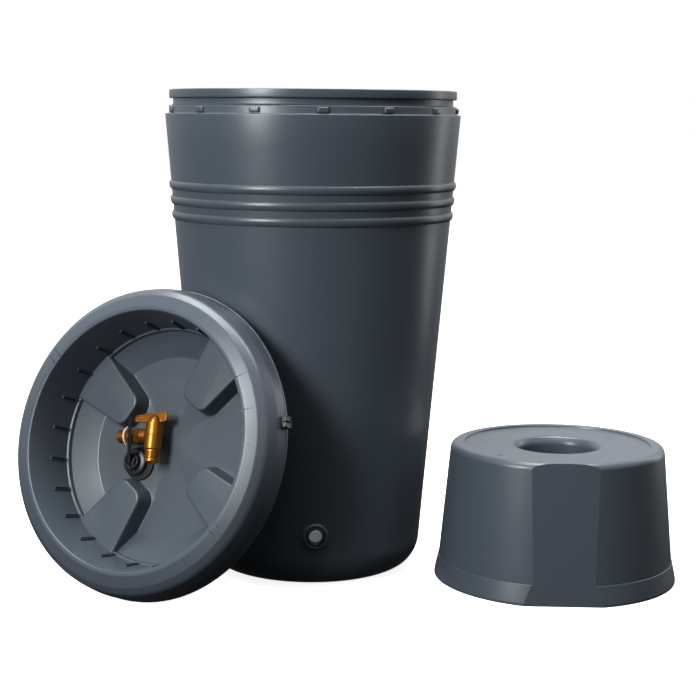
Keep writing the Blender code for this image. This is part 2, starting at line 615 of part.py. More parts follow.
def build_stand(plastic):
    frame = axis_frame("stand_frame", Matrix.Translation((*STAND_PLACE, 0.0)) @ around(FLAT_TURN))
    outer, inner = stand_outer(), stand_inner()
    corner = acos(FLAT_AT_FOOT / STAND_FOOT_RADIUS)
    corners = [side + way * corner for side in (pi / 2, 3 * pi / 2) for way in (-1, 1)]
    angles = sorted(even_angles(TURNS) + corners)
    mesh = turned_mesh("stand_shell", outer + inner, angles)
    flatten(mesh.vertices[:len(outer) * len(angles)], 0.0)
    flatten(mesh.vertices[len(outer) * len(angles):], WALL)
    add_object("stand_shell", mesh, plastic, frame)


# ---------------------------------------------------------------- assembly
def main():
    clear_scene()
    slate = material("slate_plastic", (0.065, 0.078, 0.090), 0.45)
    black = material("black_plastic", (0.015, 0.016, 0.018), 0.40)
    rubber = material("black_rubber", (0.010, 0.010, 0.011), 0.70)
    bronze = material("bronze_plastic", (0.55, 0.27, 0.06), 0.32, 0.6)
    cream = material("cream_rubber", (0.80, 0.70, 0.55), 0.55)

    build_barrel(slate, black)
    lid_frame = axis_frame("lid_frame", lid_matrix())
    lid_shell(slate, lid_frame)
    lid_clip(black, lid_frame)
    tap_frame = axis_frame("tap_frame", tap_matrix(), lid_frame)
    build_tap(bronze, cream, tap_frame)
    build_valve(bronze, rubber, tap_frame)
    build_fittings(black, rubber, lid_frame)
    build_stand(slate)
    bpy.context.view_layer.update()


main()
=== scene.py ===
"""Rain barrel set: the fine surfaces, finishes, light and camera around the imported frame.

Each operator models one piece, or one group of like pieces, in the place of its plain node. Metres, +Z up.
"""
from math import atan2, cos, pi, radians, sin, tan

import bpy
from bpy.props import FloatProperty, FloatVectorProperty, IntProperty, PointerProperty
from mathutils import Matrix, Vector


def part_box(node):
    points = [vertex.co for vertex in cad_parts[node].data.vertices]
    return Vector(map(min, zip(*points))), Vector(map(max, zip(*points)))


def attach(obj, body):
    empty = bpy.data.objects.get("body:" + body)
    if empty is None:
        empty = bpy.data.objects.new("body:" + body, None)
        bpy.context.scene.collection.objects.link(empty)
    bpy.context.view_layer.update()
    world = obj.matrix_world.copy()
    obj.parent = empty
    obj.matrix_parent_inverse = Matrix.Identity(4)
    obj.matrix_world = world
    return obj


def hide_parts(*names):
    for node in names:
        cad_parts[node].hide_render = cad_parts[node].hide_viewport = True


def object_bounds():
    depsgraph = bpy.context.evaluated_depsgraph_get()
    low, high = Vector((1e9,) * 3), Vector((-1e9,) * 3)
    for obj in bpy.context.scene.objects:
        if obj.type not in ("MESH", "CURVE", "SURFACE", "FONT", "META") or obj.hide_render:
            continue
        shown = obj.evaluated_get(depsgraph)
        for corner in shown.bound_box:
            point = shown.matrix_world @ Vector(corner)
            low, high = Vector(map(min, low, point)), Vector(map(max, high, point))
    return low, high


bl_info = {
    "name": "Rain Barrel Set",
    "version": (1, 0, 0),
    "blender": (4, 5, 0),
    "location": "View3D > Sidebar > Rain Barrel",
    "description": "Models a rain barrel with its leaning lid, tap, loose fittings and stand",
    "category": "Add Mesh",
}

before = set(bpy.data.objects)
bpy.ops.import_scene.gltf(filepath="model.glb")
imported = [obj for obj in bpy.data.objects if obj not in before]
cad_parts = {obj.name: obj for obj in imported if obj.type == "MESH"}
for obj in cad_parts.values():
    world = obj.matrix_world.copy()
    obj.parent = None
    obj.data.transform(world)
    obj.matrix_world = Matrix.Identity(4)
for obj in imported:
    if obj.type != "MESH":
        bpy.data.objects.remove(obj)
CAD_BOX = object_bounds()


# ---------------------------------------------------------------- sizes and colours
def length(name, description, default):
    return FloatProperty(name=name, description=description, default=default, unit="LENGTH", precision=4)


def angle(name, description, degrees):
    return FloatProperty(name=name, description=description, default=radians(degrees), subtype="ANGLE")


def count(name, description, default):
    return IntProperty(name=name, description=description, default=default, min=3)


def colour(name, description, default):
    return FloatVectorProperty(name=name, description=description, default=default, size=3,
                               subtype="COLOR", min=0.0, max=1.0)


def power(name, description, default):
    return FloatProperty(name=name, description=description, default=default, min=0.0, unit="POWER")


def node_top(node):
    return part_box(node)[1].z


class BarrelSizes(bpy.types.PropertyGroup):
    """Sizes of the upright barrel"""

    height: length("Height", "From the ground to the top of the rim", node_top("barrel_shell"))
    wall: length("Wall", "Thickness of the moulding", 0.0032)
    base_radius: length("Base Radius", "Flat base inside the rounded heel", 0.170)
    heel_height: length("Heel Height", "Height of the rounded heel", 0.065)
    wall_radius: length("Wall Radius", "Radius of the straight wall, extended down to the ground", 0.2195)
    taper: FloatProperty(name="Taper", description="Radius gained for each metre of height", default=0.0843)
    shoulder: length("Shoulder", "Height of the step under the lug ring", 0.9225)
    ring_radius: length("Lug Ring Radius", "Band that carries the lugs", 0.2895)
    ring_top: length("Lug Ring Top", "Upper edge of that band", 0.9385)
    neck_radius: length("Neck Radius", "Groove under the rim", 0.2815)
    neck_top: length("Neck Top", "Upper edge of the groove", 0.9530)
    rim_radius: length("Rim Radius", "Rolled rim", 0.2890)
    lowest_rib: length("Lowest Rib", "Height of the lowest of the three ribs", 0.7215)
    rib_pitch: length("Rib Pitch", "Distance between two ribs", 0.0300)
    rib_half: length("Rib Half Height", "Half of a rib's height", 0.0085)
    rib_depth: length("Rib Depth", "How far a rib stands proud", 0.0045)
    lugs: count("Lugs", "Number of lugs around the ring", 14)
    first_lug: angle("First Lug", "Turn of the first lug from the front toward +X", 3.6)
    outlet_height: length("Outlet Height", "Height of the outlet's axis", 0.108)
    outlet_turn: angle("Outlet Turn", "Turn of the outlet from the front toward +X", 2.2)
    boss_radius: length("Boss Radius", "Raised ring around the outlet", 0.0255)
    boss_depth: length("Boss Depth", "How far that ring stands proud", 0.0070)


class LidSizes(bpy.types.PropertyGroup):
    """Sizes and place of the leaning lid. Heights run along its axis from the skirt's edge"""

    skirt_radius: length("Skirt Radius", "Outer edge of the lid", 0.3027)
    wall: length("Wall", "Thickness of the moulding", 0.0032)
    ridge_radius: length("Ridge Radius", "Crest of the rolled lip", 0.2574)
    ridge_height: length("Ridge Height", "Height of that crest", 0.0735)
    lip_radius: length("Lip Radius", "Inner edge of the lip", 0.2487)
    dish_radius: length("Dish Radius", "Foot of the dish wall", 0.2320)
    dish_edge: length("Dish Edge", "Height of the ledge at that foot", -0.0240)
    disc_radius: length("Disc Radius", "Flat disc in the middle", 0.1790)
    floor: length("Floor", "Height of the disc", -0.0570)
    slots: count("Slots", "Narrow slots around the dish wall", 24)
    first_slot: angle("First Slot", "Turn of the first slot", 13.5)
    pad_tip: length("Pad Tip", "Inner end of each hollow pad, from the axis", 0.1060)
    pad_top: length("Pad Top", "Height of the pads", -0.0210)
    lean: angle("Lean", "How far the dish faces above level", 16.64)
    turn: angle("Turn", "How far it faces from the front toward -X", 32.1)
    centre_x: length("Centre X", "Place of the skirt's centre", -0.3040)
    centre_y: length("Centre Y", "Place of the skirt's centre", -0.2275)


class TapSizes(bpy.types.PropertyGroup):
    """Sizes of the tap. Its body's axis is +Z and its inlet runs along -X"""

    body_radius: length("Body Radius", "Upright barrel of the tap", 0.0170)
    top: length("Top", "Upper end of the body", 0.0260)
    shoulder: length("Shoulder", "Lower end of the body", -0.0285)
    spout_radius: length("Spout Radius", "Spout over its thread", 0.0146)
    spout_end: length("Spout End", "Lower end of the spout", -0.0530)
    bore_radius: length("Bore Radius", "Bore for the valve plug", 0.0125)
    waterway: length("Waterway", "Radius of the way through", 0.0080)
    inlet_end: length("Inlet End", "Distance of the inlet's end from the axis", 0.0840)
    thread_radius: length("Thread Radius", "3/4 inch thread over its crests", 0.0132)
    thread_pitch: length("Thread Pitch", "Distance between two crests", 0.0018)
    washer_at: length("Washer Place", "Distance of the washer from the axis", 0.0600)
    washer_radius: length("Washer Radius", "Flat washer", 0.0195)
    lever_long: length("Lever Long End", "Reach of the lever over the inlet", 0.0495)
    lever_short: length("Lever Short End", "Reach of its other end", 0.0285)
    turn: angle("Turn", "Turn of the tap in the dish", 7.5)
    dip: angle("Dip", "How far its spout dips toward the dish", 3.4)
    roll: angle("Roll", "Turn about its own axis", -2.0)


class FittingSizes(bpy.types.PropertyGroup):
    """Sizes of the loose nut, seal and key in the dish"""

    seal_radius: length("Seal Radius", "Flat rubber seal", 0.0330)
    seal_height: length("Seal Height", "Its thickness", 0.0060)
    nut_radius: length("Nut Radius", "Flange of the lock nut", 0.0270)
    nut_flange: length("Nut Flange", "Thickness of that flange", 0.0100)
    nut_hub: length("Nut Hub", "Radius of the hub", 0.0165)
    nut_top: length("Nut Top", "Height of the hub's end in the lid's frame", -0.0320)
    key_width: length("Key Width", "Bar key", 0.0075)
    key_thickness: length("Key Thickness", "Bar key", 0.0030)


class StandSizes(bpy.types.PropertyGroup):
    """Sizes and place of the round stand"""

    height: length("Height", "Top of the raised rim", node_top("stand_shell"))
    wall: length("Wall", "Thickness of the moulding", 0.0032)
    foot_radius: length("Foot Radius", "Flange on the ground", 0.2430)
    flange_top: length("Flange Top", "Upper edge of that flange", 0.0400)
    wall_foot: length("Wall Foot", "Radius of the wall over the flange", 0.2345)
    wall_top: length("Wall Top", "Radius of the wall under the shoulder", 0.2165)
    wall_top_height: length("Wall Top Height", "Height where the shoulder starts", 0.2350)
    shoulder_radius: length("Shoulder Radius", "Fillet between the wall and the raised rim", 0.0360)
    plate_radius: length("Plate Radius", "Sunk plate", 0.1850)
    plate_height: length("Plate Height", "Height of the plate", 0.2680)
    hole_radius: length("Hole Radius", "Hole in the middle", 0.0790)
    funnel_radius: length("Funnel Radius", "Rounded mouth of the hole", 0.0960)
    flat_foot: length("Flat at Foot", "Distance of the flats from the axis at the ground", 0.2312)
    flat_top: length("Flat at Top", "The same distance where the shoulder starts", 0.2068)
    flat_turn: angle("Flat Turn", "Turn of the front flat", -3.5)
    centre_x: length("Centre X", "Place of the stand's axis", 0.4952)
    centre_y: length("Centre Y", "Place of the stand's axis", -0.1074)


class Finishes(bpy.types.PropertyGroup):
    """Colours of the set"""

    slate: colour("Slate Plastic", "Barrel, lid and stand", (0.058, 0.072, 0.088))
    black: colour("Black Plastic", "Clip, bush, nut and key", (0.013, 0.014, 0.017))
    rubber: colour("Black Rubber", "Seals", (0.008, 0.009, 0.010))
    bronze: colour("Bronze Plastic", "Tap", (0.40, 0.150, 0.018))
    cream: colour("Cream Rubber", "Inlet washer", (0.80, 0.66, 0.47))
    floor: colour("Floor", "Pale studio floor", (0.93, 0.93, 0.93))


class StageSettings(bpy.types.PropertyGroup):
    """Light and camera"""

    focal_length: FloatProperty(name="Focal Length", description="Focal length on a 36 mm sensor",
                                default=83.71, unit="CAMERA")
    camera_back: length("Camera Distance", "Distance of the camera in front of the barrel's axis", 3.3022)
    camera_height: length("Camera Height", "Height of the camera", 0.9175)
    camera_yaw: angle("Camera Yaw", "Turn of the view toward +X", 1.2855)
    camera_pitch: angle("Camera Pitch", "How far the view dips", 8.112)
    camera_roll: angle("Camera Roll", "Turn about the line of sight", 0.489)
    key_power: power("Key Light", "Soft box at the front left", 115.0)
    top_power: power("Top Light", "Large soft box overhead", 150.0)
    edge_power: power("Edge Light", "Narrow box at the right", 6.0)


class RainBarrelSettings(bpy.types.PropertyGroup):
    """All settings of the rain barrel set"""

    barrel: PointerProperty(type=BarrelSizes)
    lid: PointerProperty(type=LidSizes)
    tap: PointerProperty(type=TapSizes)
    fittings: PointerProperty(type=FittingSizes)
    stand: PointerProperty(type=StandSizes)
    finishes: PointerProperty(type=Finishes)
    stage: PointerProperty(type=StageSettings)


# ---------------------------------------------------------------- frames of the pieces
def around(turn):
    return Matrix.Rotation(turn, 4, "Z")


def shift(x=0.0, y=0.0, z=0.0):
    return Matrix.Translation((x, y, z))


ONTO_X = Matrix.Rotation(pi / 2, 4, "Y")          # turns +Z onto +X
ONTO_MINUS_X = Matrix.Rotation(-pi / 2, 4, "Y")   # turns +Z onto -X
ONTO_MINUS_Y = Matrix.Rotation(pi / 2, 4, "X")    # turns +Z onto -Y


def outlet_frame(barrel):
    """Local +Z points out of the barrel's wall."""
    radius = barrel.wall_radius + barrel.taper * barrel.outlet_height
    return around(barrel.outlet_turn) @ shift(0.0, -radius, barrel.outlet_height) @ ONTO_MINUS_Y


def lid_frame(lid):
    """Local +Z leaves the dish: forward, toward -X and up. Local +Y points up the dish."""
    level = Vector((cos(lid.turn), -sin(lid.turn), 0.0))
    out = Vector((-sin(lid.turn) * cos(lid.lean), -cos(lid.turn) * cos(lid.lean), sin(lid.lean)))
    matrix = Matrix((level, out.cross(level), out)).transposed().to_4x4()
    matrix.translation = (lid.centre_x, lid.centre_y, lid.skirt_radius * cos(lid.lean))
    return matrix


def tap_frame(tap, lid):
    place = shift(-0.0205, 0.0169, -0.0224)
    laid = Matrix.Rotation(-(pi / 2 + tap.dip), 4, "X")
    return lid_frame(lid) @ place @ around(tap.turn) @ laid @ around(tap.roll)


def stand_frame(stand):
    return shift(stand.centre_x, stand.centre_y) @ around(stand.flat_turn)


# ---------------------------------------------------------------- outlines
def rounded(corners, steps=5, closed=False):
    """Points of an outline whose corners (x, y, radius) become arcs tangent to both sides."""
    points = []
    last = len(corners) - 1
    for index, (x, y, radius) in enumerate(corners):
        corner = Vector((x, y))
        if not radius or (not closed and index in (0, last)):
            points.append((x, y))
            continue
        before = Vector(corners[index - 1][:2]) - corner
        after = Vector(corners[(index + 1) % len(corners)][:2]) - corner
        half = before.angle(after) / 2
        trim = min(radius / tan(half), 0.49 * before.length, 0.49 * after.length)
        radius = trim * tan(half)
        centre = corner + (before.normalized() + after.normalized()).normalized() * radius / sin(half)
        start = corner + before.normalized() * trim - centre
        stop = corner + after.normalized() * trim - centre
        sweep = atan2(start.cross(stop), start.dot(stop))
        for step in range(steps + 1):
            turn = sweep * step / steps
            points.append((centre.x + start.x * cos(turn) - start.y * sin(turn),
                           centre.y + start.x * sin(turn) + start.y * cos(turn)))
    return points


def rectangle(width, height, radius, steps=4):
    """Outline of a rectangle with rounded corners, about its middle."""
    x, y = width / 2, height / 2
    return rounded([(x, y, radius), (-x, y, radius), (-x, -y, radius), (x, -y, radius)], steps, closed=True)


def polygon(sides, radius):
    return [(radius * cos(2 * pi * step / sides), radius * sin(2 * pi * step / sides)) for step in range(sides)]


def round_edge(radius, steps=4):
    """(inset, rise) steps of an edge rounded outward, from a side up to a top."""
    points = [(radius * (1 - cos(a)), radius * sin(a)) for a in (pi / 2 * s / steps for s in range(steps + 1))]
    return [(b[0] - a[0], b[1] - a[1]) for a, b in zip(points, points[1:])]


def hollow_edge(radius, steps=4):
    """(inset, rise) steps of an inner fillet, from a floor up to a side."""
    return [(rise, inset) for inset, rise in round_edge(radius, steps)]


# ---------------------------------------------------------------- modelling tools
def select_only(*pieces):
    bpy.ops.object.select_all(action="DESELECT")
    for piece in pieces:
        piece.select_set(True)
    bpy.context.view_layer.objects.active = pieces[0]


def tidy_mesh():
    """In edit mode: merge what coincides and turn the faces outward."""
    bpy.ops.mesh.select_all(action="SELECT")
    bpy.ops.mesh.remove_doubles(threshold=0.000005)
    bpy.ops.mesh.normals_make_consistent(inside=False)
    bpy.ops.object.mode_set(mode="OBJECT")


def spun(outline, steps, ring=False):
    """Draw an (r, z) outline, one extrusion for each point, and spin it about Z.

    An outline with both ends on the axis stays open there. A ring's outline is closed first.
    """
    bpy.ops.object.select_all(action="DESELECT")
    bpy.ops.mesh.primitive_plane_add(size=0.01)
    bpy.ops.object.mode_set(mode="EDIT")
    bpy.ops.mesh.merge(type="CENTER")
    radius, z = outline[0]
    bpy.ops.transform.translate(value=(radius, 0.0, z))
    for (radius, z), (next_radius, next_z) in zip(outline, outline[1:]):
        move = {"value": (next_radius - radius, 0.0, next_z - z)}
        bpy.ops.mesh.extrude_vertices_move(TRANSFORM_OT_translate=move)
    if ring:
        bpy.ops.object.mode_set(mode="OBJECT")
        points = bpy.context.object.data.vertices
        points[0].select = True
        bpy.ops.object.mode_set(mode="EDIT")
        bpy.ops.mesh.edge_face_add()
    bpy.ops.mesh.select_all(action="SELECT")
    bpy.ops.mesh.spin(steps=steps, angle=2 * pi, center=(0.0, 0.0, 0.0), axis=(0.0, 0.0, 1.0))
    tidy_mesh()
    return bpy.context.object


def raised(outline, height, edges=(), under=()):
    """Extrude an (x, y) outline up to a height, then step its top by (inset, rise) pairs, and its
    underside by (inset, depth) pairs. A negative rise sinks a panel."""
    bpy.ops.object.select_all(action="DESELECT")
    bpy.ops.mesh.primitive_circle_add(vertices=len(outline), fill_type="NGON")
    piece = bpy.context.object
    for vertex, (x, y) in zip(piece.data.vertices, outline):
        vertex.co = (x, y, 0.0)
    bpy.ops.object.mode_set(mode="EDIT")
    bpy.ops.mesh.select_all(action="SELECT")
    bpy.ops.mesh.extrude_region_move(TRANSFORM_OT_translate={"value": (0.0, 0.0, height)})
    tidy_mesh()
    for side, steps in ((1.0, edges), (-1.0, under)):
        if not steps:
            continue
        bpy.ops.object.mode_set(mode="EDIT")
        bpy.ops.mesh.select_mode(type="FACE")
        bpy.ops.mesh.select_all(action="DESELECT")
        bpy.ops.object.mode_set(mode="OBJECT")
        for face in piece.data.polygons:
            face.select = face.normal.z * side > 0.9
        bpy.ops.object.mode_set(mode="EDIT")
        for inset, rise in steps:
            bpy.ops.mesh.inset(thickness=max(inset, 0.0), depth=rise)
        bpy.ops.mesh.select_mode(type="VERT")
        bpy.ops.object.mode_set(mode="OBJECT")
    return piece


def placed(piece, matrix):
    """Move a piece, and put the move into its mesh."""
    piece.matrix_world = matrix @ piece.matrix_world
    select_only(piece)
    bpy.ops.object.transform_apply(location=True, rotation=True, scale=True)
    return piece


def combine(piece, tool, operation):
    """Apply a Boolean with a tool, which is used up."""
    select_only(piece)
    bpy.ops.object.modifier_add(type="BOOLEAN")
    step = piece.modifiers[-1]
    step.operation = operation
    step.object = tool
    bpy.ops.object.modifier_apply(modifier=step.name)
    bpy.data.objects.remove(tool, do_unlink=True)
    return piece


def copies(piece, matrices):
    """One piece made of a copy at each matrix."""
    made = []
    for matrix in matrices:
        select_only(piece)
        bpy.ops.object.duplicate()
        made.append(placed(bpy.context.object, matrix))
    bpy.data.objects.remove(piece, do_unlink=True)
    select_only(*made)
    bpy.ops.object.join()
    return made[0]


def evenly(number, first=0.0):
    return [around(first + 2 * pi * step / number) for step in range(number)]


def screw_ridge(core, crest, pitch, low, high):
    """A helical ridge of triangular section between two heights, to be joined to its core."""
    bpy.ops.object.select_all(action="DESELECT")
    bpy.ops.mesh.primitive_circle_add(vertices=3, fill_type="NOTHING")
    piece = bpy.context.object
    sunk = core + 0.12 * pitch * (1.0 if core > crest else -1.0)
    section = ((sunk, 0.0), (crest, 0.47 * pitch), (sunk, 0.94 * pitch))
    for vertex, (radius, z) in zip(piece.data.vertices, section):
        vertex.co = (radius, 0.0, low + z)
    bpy.ops.object.modifier_add(type="SCREW")
    screw = piece.modifiers[-1]
    screw.steps = screw.render_steps = 36
    screw.iterations = int((high - low) / pitch) - 1
    screw.screw_offset = pitch
    screw.use_merge_vertices = False
    bpy.ops.object.modifier_apply(modifier=screw.name)
    bpy.ops.object.mode_set(mode="EDIT")
    bpy.ops.mesh.select_all(action="SELECT")
    bpy.ops.mesh.fill_holes(sides=3)
    tidy_mesh()
    return piece


def finish(piece, name, body, slot, *nodes, crease=30.0):
    """Name, shade and paint a piece in its slot's finish, and put it in the place of its plain nodes."""
    piece.name = piece.data.name = name
    select_only(piece)
    bpy.ops.object.shade_smooth_by_angle(angle=radians(crease))
    piece.data.materials.clear()
    piece.data.materials.append(material_for(slot))
    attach(piece, body)
    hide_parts(*nodes)
    return piece


# ---------------------------------------------------------------- materials
class Value:
    """A socket that takes part in sums by adding Math nodes."""

    def __init__(self, shade, socket):
        self.shade = shade
        self.socket = socket

    def math(self, operation, first, second):
        return self.shade.node("ShaderNodeMath", {"operation": operation}, {0: first, 1: second})

    def __add__(self, other):
        return self.math("ADD", self, other)

    def __mul__(self, other):
        return self.math("MULTIPLY", self, other)

    __radd__ = __add__
    __rmul__ = __mul__


class Shade:
    """A material under construction."""

    def __init__(self, name, constants):
        self.material = bpy.data.materials.new("fine_" + name)
        self.material.use_nodes = True
        self.tree = self.material.node_tree
        self.shader = self.tree.nodes["Principled BSDF"]
        for socket, value in constants.items():
            self.shader.inputs[socket].default_value = value
        self.place = self.node("ShaderNodeTexCoord", output="Object")

    def node(self, kind, settings=None, inputs=None, output=0):
        """Add a node, set it up, fill its sockets with values or links, and return an output."""
        made = self.tree.nodes.new(kind)
        for key, value in (settings or {}).items():
            setattr(made, key, value)
        for key, value in (inputs or {}).items():
            self.feed(made.inputs[key], value)
        return Value(self, made.outputs[output])

    def feed(self, socket, value):
        if isinstance(value, Value):
            self.tree.links.new(value.socket, socket)
        else:
            socket.default_value = value

    def noise(self, scale, detail=2.0, stretch=None):
        """Noise from 0 to 1. stretch scales the pattern along each axis first."""
        place = self.place
        if stretch:
            place = self.node("ShaderNodeVectorMath", {"operation": "MULTIPLY"}, {0: place, 1: stretch})
        return self.node("ShaderNodeTexNoise", None, {"Vector": place, "Scale": scale, "Detail": detail})

    def mix(self, share, first, second):
        """Mix two colours."""
        return self.node("ShaderNodeMix", {"data_type": "RGBA"}, {0: share, 6: first, 7: second}, output=2)

    def clamp(self, value, low, high, to_low=0.0, to_high=1.0):
        """Map a value's range onto another, and stop at its ends."""
        return self.node("ShaderNodeMapRange", None, {"Value": value, "From Min": low, "From Max": high,
                                                      "To Min": to_low, "To Max": to_high})

    def bump(self, height, distance, strength=1.0):
        sockets = {"Height": height, "Distance": distance, "Strength": strength}
        self.feed(self.shader.inputs["Normal"], self.node("ShaderNodeBump", None, sockets))

    def paint(self, base, roughness):
        self.feed(self.shader.inputs["Base Color"], base)
        self.feed(self.shader.inputs["Roughness"], roughness)
        return self.material


def tinted(colour_value, share):
    """A colour made lighter or darker, with full alpha."""
    return (*(min(channel * share, 1.0) for channel in colour_value), 1.0)


def slate_plastic(finishes):
    """Satin moulded plastic: fine spark grain, slow flow of tone, and faint rubbed patches."""
    shade = Shade("slate_plastic", {"IOR": 1.5, "Specular IOR Level": 0.55})
    flow = shade.noise(3.2, 3.0, (1.0, 1.0, 0.45))
    specks = shade.clamp(shade.noise(420.0, 2.0), 0.62, 0.80)
    rubbed = shade.clamp(shade.noise(11.0, 5.0), 0.55, 0.75)
    base = shade.mix(flow, tinted(finishes.slate, 0.93), tinted(finishes.slate, 1.07))
    base = shade.mix(specks * 0.16, base, tinted(finishes.slate, 1.9))
    grain = shade.noise(1500.0, 2.0)
    shade.bump(grain + shade.noise(260.0, 1.0) * 0.5, 0.00006, 0.55)
    return shade.paint(base, 0.31 + flow * 0.04 + rubbed * 0.05)


def black_plastic(finishes):
    """Glossier black moulding with a fine grain."""
    shade = Shade("black_plastic", {"IOR": 1.5, "Specular IOR Level": 0.4})
    cloud = shade.noise(60.0, 3.0)
    base = shade.mix(cloud, tinted(finishes.black, 0.8), tinted(finishes.black, 1.5))
    shade.bump(shade.noise(2200.0, 2.0), 0.00004, 0.5)
    return shade.paint(base, 0.30 + cloud * 0.10)


def black_rubber(finishes):
    """Dull rubber with a dusty bloom."""
    shade = Shade("black_rubber", {"IOR": 1.5, "Specular IOR Level": 0.35})
    bloom = shade.clamp(shade.noise(90.0, 5.0), 0.45, 0.75)
    base = shade.mix(bloom * 0.6, tinted(finishes.rubber, 1.0), tinted(finishes.rubber, 3.2))
    shade.bump(shade.noise(1300.0, 3.0), 0.00008, 0.6)
    return shade.paint(base, 0.58 + bloom * 0.14)


def bronze_plastic(finishes):
    """Metallic bronze moulding: fine flakes, and slightly darker flow bands."""
    shade = Shade("bronze_plastic", {"IOR": 1.5, "Coat Weight": 0.06, "Coat Roughness": 0.22})
    flakes = shade.clamp(shade.noise(2600.0, 1.0), 0.45, 0.75)
    flow = shade.noise(55.0, 3.0)
    base = shade.mix(flow, tinted(finishes.bronze, 0.86), tinted(finishes.bronze, 1.08))
    base = shade.mix(flakes * 0.35, base, tinted(finishes.bronze, 1.35))
    shade.feed(shade.shader.inputs["Metallic"], 0.84 + flakes * 0.12)
    shade.bump(shade.noise(2600.0, 1.0), 0.00004, 0.35)
    return shade.paint(base, 0.30 + flow * 0.08)


def cream_rubber(finishes):
    """Pale rubber washer with small mottling."""
    shade = Shade("cream_rubber", {"IOR": 1.45, "Specular IOR Level": 0.4, "Subsurface Weight": 0.05})
    mottle = shade.noise(180.0, 4.0)
    base = shade.mix(mottle, tinted(finishes.cream, 0.9), tinted(finishes.cream, 1.08))
    shade.bump(shade.noise(900.0, 2.0), 0.00006, 0.5)
    return shade.paint(base, 0.50 + mottle * 0.12)


def material_for(name):
    """A finish is made once and then shared."""
    makers = {maker.__name__: maker for maker in
              (slate_plastic, black_plastic, black_rubber, bronze_plastic, cream_rubber)}
    return bpy.data.materials.get("fine_" + name) or makers[name](bpy.context.scene.rain_barrel.finishes)


# ---------------------------------------------------------------- barrel
class Modeller:
    """What the operators share: each one models its piece from the scene's settings"""

    def execute(self, context):
        self.model(context.scene.rain_barrel)
        return {"FINISHED"}


BARREL_TURNS = 216


def barrel_wall(barrel, z):
    return barrel.wall_radius + barrel.taper * z


def barrel_outline(barrel):
    """Outer side from the base to the rim, then the inside back down to the base."""
    heel_width = barrel_wall(barrel, barrel.heel_height) - barrel.base_radius
    turns = [pi / 2 * step / 18 for step in range(19)]
    outline = [(0.0, 0.0)]
    outline += [(barrel.base_radius + heel_width * sin(a), barrel.heel_height * (1 - cos(a))) for a in turns]
    for rib in range(3):
        middle = barrel.lowest_rib + rib * barrel.rib_pitch
        for step in range(13):
            turn = pi * step / 12
            z = middle - barrel.rib_half * cos(turn)
            outline.append((barrel_wall(barrel, z) + barrel.rib_depth * sin(turn), z))
    neck, rim, ring = barrel.neck_radius, barrel.rim_radius, barrel.ring_radius
    outline += rounded([
        (barrel_wall(barrel, barrel.shoulder - 0.06), barrel.shoulder - 0.06, 0.0),
        (barrel_wall(barrel, barrel.shoulder), barrel.shoulder, 0.0016),
        (ring, barrel.shoulder + 0.0012, 0.0012),
        (ring, barrel.ring_top, 0.0022),
        (neck, barrel.ring_top + 0.0012, 0.0035),
        (neck, barrel.neck_top - 0.0006, 0.0008),
        (rim, barrel.neck_top, 0.0018),
        (rim, barrel.height, 0.0024),
        (neck - barrel.wall, barrel.height, 0.0020),
        (neck - barrel.wall, barrel.shoulder - 0.003, 0.004),
        (barrel_wall(barrel, barrel.shoulder - 0.02) - barrel.wall, barrel.shoulder - 0.02, 0.004),
        (barrel_wall(barrel, barrel.heel_height + 0.1) - barrel.wall, barrel.heel_height + 0.1, 0.0)])
    inner_width = heel_width - barrel.wall
    inner_height = barrel.heel_height - barrel.wall
    outline += [(barrel.base_radius + inner_width * sin(a), barrel.wall + inner_height * (1 - cos(a)))
                for a in reversed(turns)]
    return outline + [(0.0, barrel.wall)]


class RAIN_BARREL_OT_barrel(Modeller, bpy.types.Operator):
    """Model the barrel in one moulding: heel, ribs, lug ring, neck, rim and the outlet's raised ring"""

    bl_idname = "rain_barrel.barrel"
    bl_label = "Barrel"

    def model(self, settings):
        barrel = settings.barrel
        shell = spun(barrel_outline(barrel), BARREL_TURNS)

        lug = raised(rectangle(0.0108, 0.0215, 0.0030), 0.0032, round_edge(0.0026))
        out_of_ring = shift(barrel.ring_radius - 0.0018, 0.0, barrel.shoulder + 0.0082) @ ONTO_X
        first = barrel.first_lug - pi / 2
        lugs = copies(placed(lug, out_of_ring), evenly(barrel.lugs, first))
        combine(shell, lugs, "UNION")

        boss, depth = barrel.boss_radius, barrel.boss_depth
        ring = spun(rounded([(0.0, -0.0025, 0.0), (boss - 0.0002, -0.0025, 0.0), (boss, depth - 0.0012, 0.0014),
                             (boss - 0.0042, depth + 0.0002, 0.0012), (boss - 0.0052, depth - 0.0016, 0.0006),
                             (boss - 0.0066, depth - 0.0016, 0.0004), (0.0, depth - 0.0016, 0.0)]), 96)
        combine(shell, placed(ring, outlet_frame(barrel)), "UNION")
        bore = spun([(0.0, -0.030), (0.0178, -0.030), (0.0178, 0.030), (0.0, 0.030)], 96)
        combine(shell, placed(bore, outlet_frame(barrel)), "DIFFERENCE")
        finish(shell, "barrel_moulding", "barrel", "slate_plastic", "barrel_shell")


class RAIN_BARREL_OT_bush(Modeller, bpy.types.Operator):
    """Model the threaded bush in the outlet"""

    bl_idname = "rain_barrel.bush"
    bl_label = "Outlet Bush"

    def model(self, settings):
        front = settings.barrel.boss_depth + 0.0010
        outer, crest, back = 0.0175, 0.0132, -0.0080
        root = crest + 0.0010
        bush = spun(rounded([(root, front, 0.0006), (outer, front, 0.0010), (outer, back, 0.0005),
                             (root, back, 0.0005)], 3, closed=True), 72, ring=True)
        pitch = settings.tap.thread_pitch
        ridge = screw_ridge(root, crest, pitch, back + 0.0010, front - 0.0005)
        combine(bush, ridge, "UNION")
        placed(bush, outlet_frame(settings.barrel))
        finish(bush, "outlet_thread_bush", "barrel", "black_plastic", "outlet_bush")


# ---------------------------------------------------------------- lid
LID_TURNS = 240


